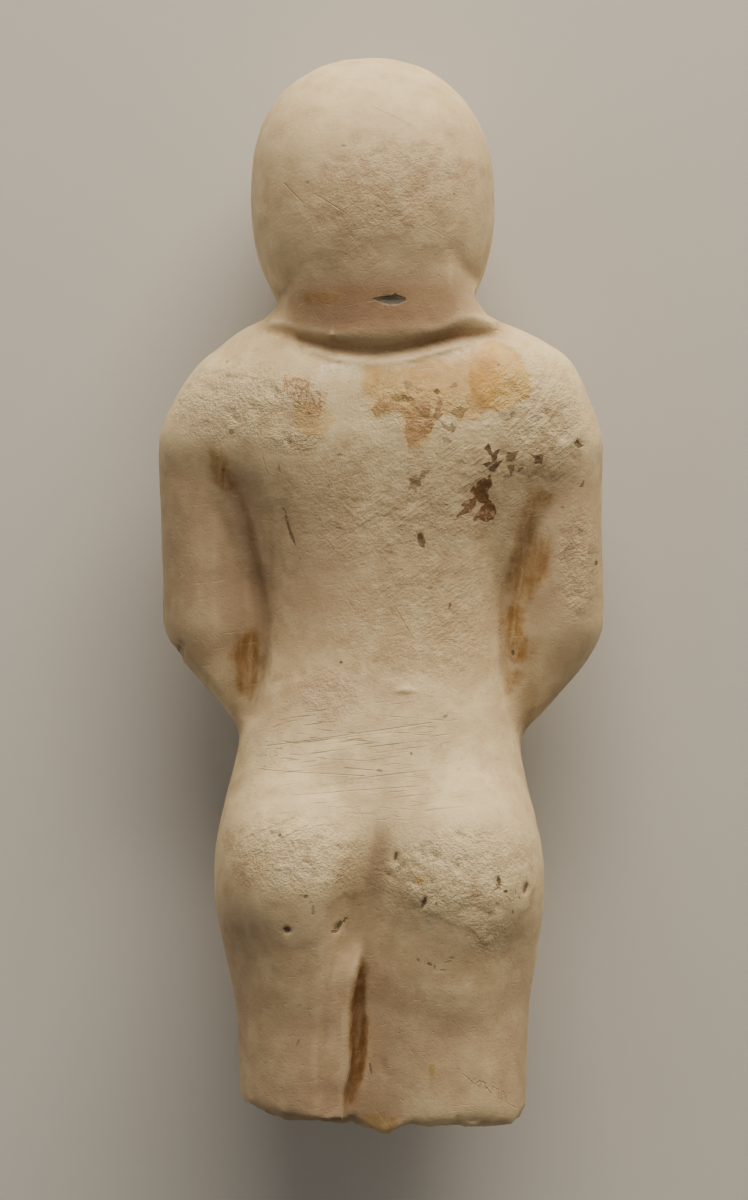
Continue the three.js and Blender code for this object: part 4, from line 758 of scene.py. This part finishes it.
class NodeBench:
    # a few short ways to lay nodes, so that the material reads as a list of layers
    def __init__(self, tree):
        self.tree = tree
        coordinates = self.lay("ShaderNodeTexCoord")
        scaled = self.lay("ShaderNodeMapping", {
            "Vector": coordinates.outputs["Object"], "Scale": (1000, 1000, 1000)})
        self.millimetres = scaled.outputs["Vector"]

    def lay(self, kind, inputs=None, **settings):
        node = self.tree.nodes.new(kind)
        for name, value in settings.items():
            setattr(node, name, value)
        for name, value in (inputs or {}).items():
            if isinstance(value, bpy.types.NodeSocket):
                self.tree.links.new(value, node.inputs[name])
            else:
                node.inputs[name].default_value = value
        return node

    def sum(self, operation, a, b=0.0, c=0.0):
        node = self.lay("ShaderNodeMath", {0: a, 1: b}, operation=operation)
        if operation == "MULTIPLY_ADD":
            if isinstance(c, bpy.types.NodeSocket):
                self.tree.links.new(c, node.inputs[2])
            else:
                node.inputs[2].default_value = c
        return node.outputs[0]

    def times(self, a, b):
        return self.sum("MULTIPLY", a, b)

    def noise(self, size, detail=2.0, roughness=0.5, stretch=(1, 1, 1), turn=0, shift=0.0):
        # stretch draws the bumps out along the turned axes
        vector = self.lay("ShaderNodeMapping", {
            "Vector": self.millimetres, "Scale": stretch, "Location": (shift, shift, shift),
            "Rotation": (0, 0, math.radians(turn))}, vector_type="TEXTURE").outputs["Vector"]
        return self.lay("ShaderNodeTexNoise", {
            "Vector": vector, "Scale": 1 / size, "Detail": detail, "Roughness": roughness}).outputs["Fac"]

    def step(self, value, low, high, to=1.0):
        return self.lay("ShaderNodeMapRange", {
            "Value": value, "From Min": low, "From Max": high, "To Min": 0.0, "To Max": to},
            interpolation_type="SMOOTHSTEP").outputs["Result"]

    def blend(self, amount, under, over, way="MIX"):
        node = self.lay("ShaderNodeMix", data_type="RGBA", blend_type=way)
        for place, value in ((0, amount), (6, under), (7, over)):
            if isinstance(value, bpy.types.NodeSocket):
                self.tree.links.new(value, node.inputs[place])
            else:
                node.inputs[place].default_value = value
        return node.outputs[2]

    def painted(self, name):
        return self.lay("ShaderNodeAttribute", attribute_name=name)

    def depthOf(self, name):
        parts = self.lay("ShaderNodeSeparateXYZ", {"Vector": self.painted(name).outputs["Vector"]})
        return parts.outputs[0], parts.outputs[1]

    def reachOf(self, name):
        return self.lay("ShaderNodeVectorMath", {0: self.painted(name).outputs["Vector"]},
                        operation="LENGTH").outputs["Value"]


def newMaterial(name):
    material = bpy.data.materials.new(name)
    material.use_nodes = True
    tree = material.node_tree
    tree.nodes.clear()
    return material, tree


def limestoneMaterial(tone):
    material, tree = newMaterial("limestone")
    bench = NodeBench(tree)
    broad, middling = bench.noise(22, 3), bench.noise(5, 4, 0.6, shift=40)
    small, grain = bench.noise(1.3, 4, 0.6, shift=80), bench.noise(0.42, 2, 0.6, shift=120)
    edge = bench.sum("SUBTRACT", bench.noise(1.1, 4, 0.7, shift=160), 0.5)
    coarseEdge = bench.sum("SUBTRACT", bench.noise(3.2, 3, 0.6, shift=200), 0.5)
    streak = bench.noise(1.1, 3, 0.6, stretch=(1, 6, 3), turn=-8, shift=220)

    eroded, brownAndPaintedShade, paleAndPaintedLight, pink, glossAndPaintedHighlight, combed, scored, hollow, deepHollow = (
        bench.painted(name).outputs["Fac"]
        for name in ("eroded", "brownAndPaintedShade", "paleAndPaintedLight", "pink", "glossAndPaintedHighlight", "combed", "scored", "hollow", "deepHollow"))
    amount, relief = tone["amounts"], tone["relief"]

    colour = bench.blend(bench.step(broad, 0.38, 0.64), tone["cream"], tone["warm"])
    colour = bench.blend(bench.times(bench.step(middling, 0.42, 0.70), amount["chalky"]), colour, tone["chalk"])
    # paler stone and painted light, where the pale mask lies
    colour = bench.blend(bench.times(paleAndPaintedLight, bench.step(middling, 0.15, 0.70, amount["paleAndPaintedLight"])), colour, tone["chalk"])
    # brown patina, with painted shade on the flats and above the nape's lip
    colour = bench.blend(
        bench.times(brownAndPaintedShade, bench.step(broad, -0.35, 0.60, amount["patinaAndPaintedShade"])), colour, tone["patinaAndPaintedShade"])
    colour = bench.blend(bench.times(pink, bench.step(middling, 0.3, 0.65, amount["rose"])), colour, tone["rose"])
    # painted highlight: the glossy patches are painted whiter
    highlightEdge = bench.sum("MULTIPLY_ADD", edge, 2.6, glossAndPaintedHighlight)
    colour = bench.blend(bench.step(highlightEdge, 0.75, 1.1, amount["paintedHighlight"]), colour, tone["paintedHighlight"])
    freckles = bench.step(small, 0.56, 0.70)
    colour = bench.blend(bench.times(freckles, amount["freckles"]), colour, tone["freckle"])
    colour = bench.blend(bench.step(grain, 0.55, 0.75, amount["grain"]), colour, tone["freckle"])
    # eroded skin: chalky crumbs between darker pits
    crumb = bench.noise(0.6, 3, 0.7, shift=240)
    colour = bench.blend(bench.times(eroded, bench.step(crumb, 0.52, 0.64, amount["crumbs"])), colour, tone["chalk"])
    colour = bench.blend(bench.times(eroded, bench.step(crumb, 0.46, 0.36, amount["pits"])), colour, tone["patinaAndPaintedShade"])
    # dirt and painted shade darken the hollows and broad recesses, ridges are rubbed pale
    hollowDirtAndShade = bench.step(bench.sum("MULTIPLY_ADD", edge, 0.10, hollow), 0.02, 0.16, amount["dirtAndShade"])
    colour = bench.blend(hollowDirtAndShade, colour, tone["dirtAndShade"])
    broadHollowDirtAndShade = bench.sum("MULTIPLY_ADD", coarseEdge, 0.5, deepHollow)
    colour = bench.blend(bench.step(broadHollowDirtAndShade, 0.15, 0.9, amount["deepDirtAndShade"]), colour, tone["dirtAndShade"])
    notBrown = bench.sum("MULTIPLY_ADD", brownAndPaintedShade, -0.75, 1.0)
    rubbed = bench.times(bench.step(hollow, -0.02, -0.12, amount["rubbed"]), notBrown)
    colour = bench.blend(rubbed, colour, tone["chalk"])

    def coverOf(name):
        # how much of a stain shows
        ragged, soft, spotty, grown = tone["edges"][name]
        depth, strength = bench.depthOf(name)
        depth = bench.sum("ADD", depth, grown)
        depth = bench.sum("MULTIPLY_ADD", edge, ragged, bench.sum("MULTIPLY_ADD", coarseEdge, ragged, depth))
        cover = bench.times(bench.step(depth, -soft, soft), strength)
        if spotty:
            spots = bench.sum("MULTIPLY_ADD", bench.step(small, 0.42, 0.60), spotty, 1 - spotty)
            cover = bench.times(cover, spots)
        return cover

    tanCover, ochreCover, rustCover = coverOf("tan"), coverOf("ochre"), coverOf("rust")
    colour = bench.blend(tanCover, colour, tone["tanGlaze"], "MULTIPLY")
    colour = bench.blend(ochreCover, colour, tone["ochreGlaze"], "MULTIPLY")
    colour = bench.blend(rustCover, colour, tone["rust"])
    # a net of thin rusty veins
    net = bench.sum("SUBTRACT", bench.noise(1.5, 3, 0.6, stretch=(1, 1.8, 1), shift=260), 0.5)
    veins = bench.step(bench.sum("ABSOLUTE", net), 0.060, 0.020)
    veinCover = bench.times(coverOf("veined"), bench.sum("MULTIPLY_ADD", veins, 0.75, 0.2))
    colour = bench.blend(veinCover, colour, tone["rust"])
    streaks = bench.sum("MULTIPLY_ADD", bench.step(streak, 0.34, 0.56), 0.5, 0.5)
    colour = bench.blend(bench.times(coverOf("soaked"), streaks), colour, tone["soakedGlaze"], "MULTIPLY")
    # crease stains, with painted shade and shadow at the nape's lip and the slot's left edge
    colour = bench.blend(coverOf("creaseStainsAndShade"), colour, tone["creaseStainAndShadeGlaze"], "MULTIPLY")
    flakeCover, redCover = coverOf("darkFlake"), coverOf("redBrown")
    greyCover, crackCover = coverOf("greyFlake"), coverOf("cracks")
    colour = bench.blend(bench.times(flakeCover, amount["flakes"]), colour, tone["darkFlake"])
    colour = bench.blend(
        bench.times(redCover, bench.step(small, 0.30, 0.48, amount["redBrown"])), colour, tone["redBrown"])
    colour = bench.blend(bench.times(greyCover, amount["flakes"]), colour, tone["greyFlake"])
    colour = bench.blend(bench.times(crackCover, amount["cracks"]), colour, tone["speck"])

    speckEdge = bench.sum("MULTIPLY_ADD", edge, 2.2, bench.reachOf("specks"))
    speck = bench.times(bench.step(speckEdge, 1.15, 0.75), bench.painted("speckStrength").outputs["Fac"])
    colour = bench.blend(bench.times(speck, amount["specks"]), colour, tone["speck"])
    scratch = bench.step(bench.reachOf("scratches"), 1.7, 0.4)
    worn = bench.times(scratch, bench.step(middling, 0.35, 0.60))
    colour = bench.blend(bench.times(worn, amount["scratches"]), colour, tone["freckle"])

    # fine hairlines and scoring: long thin noise in the directions of the old tool
    def toolMarks(size, stretch, turn, shift, low, high):
        return bench.step(bench.noise(size, 2, 0.5, stretch=stretch, turn=turn, shift=shift), low, high)

    combing = bench.noise(0.50, 3, 0.6, stretch=(9, 1, 2), turn=36, shift=300)
    combed = bench.times(combed, bench.step(bench.noise(6, 3, 0.6, shift=360), 0.42, 0.62))
    hairs = bench.sum(
        "MAXIMUM", toolMarks(0.7, (14, 0.7, 2), 8, 320, 0.66, 0.72), toolMarks(0.7, (12, 0.7, 2), -52, 340, 0.68, 0.74))
    colour = bench.blend(bench.times(hairs, amount["hairs"]), colour, tone["chalk"])
    scoring = bench.sum(
        "MAXIMUM", toolMarks(0.42, (34, 1, 3), 7, 400, 0.60, 0.70), toolMarks(0.50, (26, 1, 3), -4, 440, 0.62, 0.72))
    scoring = bench.times(scored, scoring)
    colour = bench.blend(bench.times(scoring, amount["scoring"]), colour, tone["freckle"])
    combedPale = bench.times(combed, bench.step(combing, 0.54, 0.66, amount["combing"]))
    colour = bench.blend(combedPale, colour, tone["chalk"])

    roughness = bench.sum("MULTIPLY_ADD", glossAndPaintedHighlight, -0.30, tone["roughness"])
    roughness = bench.sum("MULTIPLY_ADD", bench.sum("SUBTRACT", small, 0.5), 0.25, roughness)
    roughness = bench.sum("MULTIPLY_ADD", ochreCover, -0.12, roughness)
    roughness = bench.sum("MULTIPLY_ADD", eroded, -0.12, roughness)

    height = bench.times(bench.sum("SUBTRACT", grain, 0.5), relief["grain"])
    for layer, value in (
            ("small", small), ("crumbs", bench.times(eroded, crumb)), ("combing", bench.times(combed, combing)),
            ("scoring", scoring), ("pores", bench.step(bench.noise(0.8, 1, 0.5, shift=380), 0.68, 0.75)),
            ("specks", bench.sum("MAXIMUM", speck, crackCover)), ("greyFlake", greyCover),
            ("flakes", bench.sum("MAXIMUM", flakeCover, redCover)), ("scratches", scratch), ("hairs", hairs),
            ("rust", bench.sum("MAXIMUM", veinCover, rustCover))):
        height = bench.sum("MULTIPLY_ADD", value, relief[layer], height)
    bump = bench.lay("ShaderNodeBump", {"Height": height, "Strength": 1.0, "Distance": 0.001})

    shader = bench.lay("ShaderNodeBsdfPrincipled", {
        "Base Color": colour, "Roughness": roughness, "Normal": bump.outputs["Normal"], "Specular IOR Level": 0.4})
    bench.lay("ShaderNodeOutputMaterial", {"Surface": shader.outputs["BSDF"]})
    return material


stone.data.materials.append(limestoneMaterial(limestone))
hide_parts("statuette")
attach(stone, "root")
print("stone: finished")

# The table it lies on, the light and the camera.
studio = {
    "floorSize": 3.0,
    "floorColour": (0.60, 0.59, 0.57, 1),
    "fibreColour": (0.5, 0.48, 0.45, 1),
    "floorRoughness": 0.9,
    "surround": (1.0, 0.94, 0.84, 1),
    "surroundStrength": 0.14,
    # name: place, side length, watts, colour
    "lights": {
        "keyLight": ((0.20, 1.04, 0.38), 1.0, 33, (1.0, 0.885, 0.70)),
        "fillLight": ((-0.9, 0.25, 0.60), 0.8, 1.2, (1.0, 0.95, 0.88)),
    },
    "cameraPlace": (-0.00137, -0.00169, 0.625),
    "lens": 96.05,
    "sensorWidth": 36,
}

bpy.ops.object.select_all(action="DESELECT")
bpy.ops.mesh.primitive_plane_add(size=studio["floorSize"], location=(0, 0, 0))
floor = bpy.context.object
floor.name = "paleFloor"
floorMaterial, floorTree = newMaterial("pale_paper")
bench = NodeBench(floorTree)
fibre = bench.noise(3, 3, shift=11)
floorColour = bench.blend(bench.step(fibre, 0.2, 0.8, 0.05), studio["floorColour"], studio["fibreColour"])
floorShader = bench.lay("ShaderNodeBsdfPrincipled", {
    "Base Color": floorColour, "Roughness": studio["floorRoughness"]})
bench.lay("ShaderNodeOutputMaterial", {"Surface": floorShader.outputs["BSDF"]})
floor.data.materials.append(floorMaterial)

for name, (place, size, watts, colour) in studio["lights"].items():
    bpy.ops.object.light_add(type="AREA", location=place)
    light = bpy.context.object
    light.name = name
    light.data.size = size
    light.data.energy = watts
    light.data.color = colour
    light.rotation_euler = (-Vector(place)).to_track_quat("-Z", "Y").to_euler()

world = bpy.data.worlds.new("studioAir")
bpy.context.scene.world = world
world.use_nodes = True
world.node_tree.nodes["Background"].inputs["Color"].default_value = studio["surround"]
world.node_tree.nodes["Background"].inputs["Strength"].default_value = studio["surroundStrength"]

bpy.ops.object.camera_add(location=studio["cameraPlace"], rotation=(0, 0, 0))
camera = bpy.context.object
camera.name = "overheadCamera"
camera.data.lens = studio["lens"]
camera.data.sensor_width = studio["sensorWidth"]
bpy.context.scene.camera = camera
print("studio: floor, lights and camera")
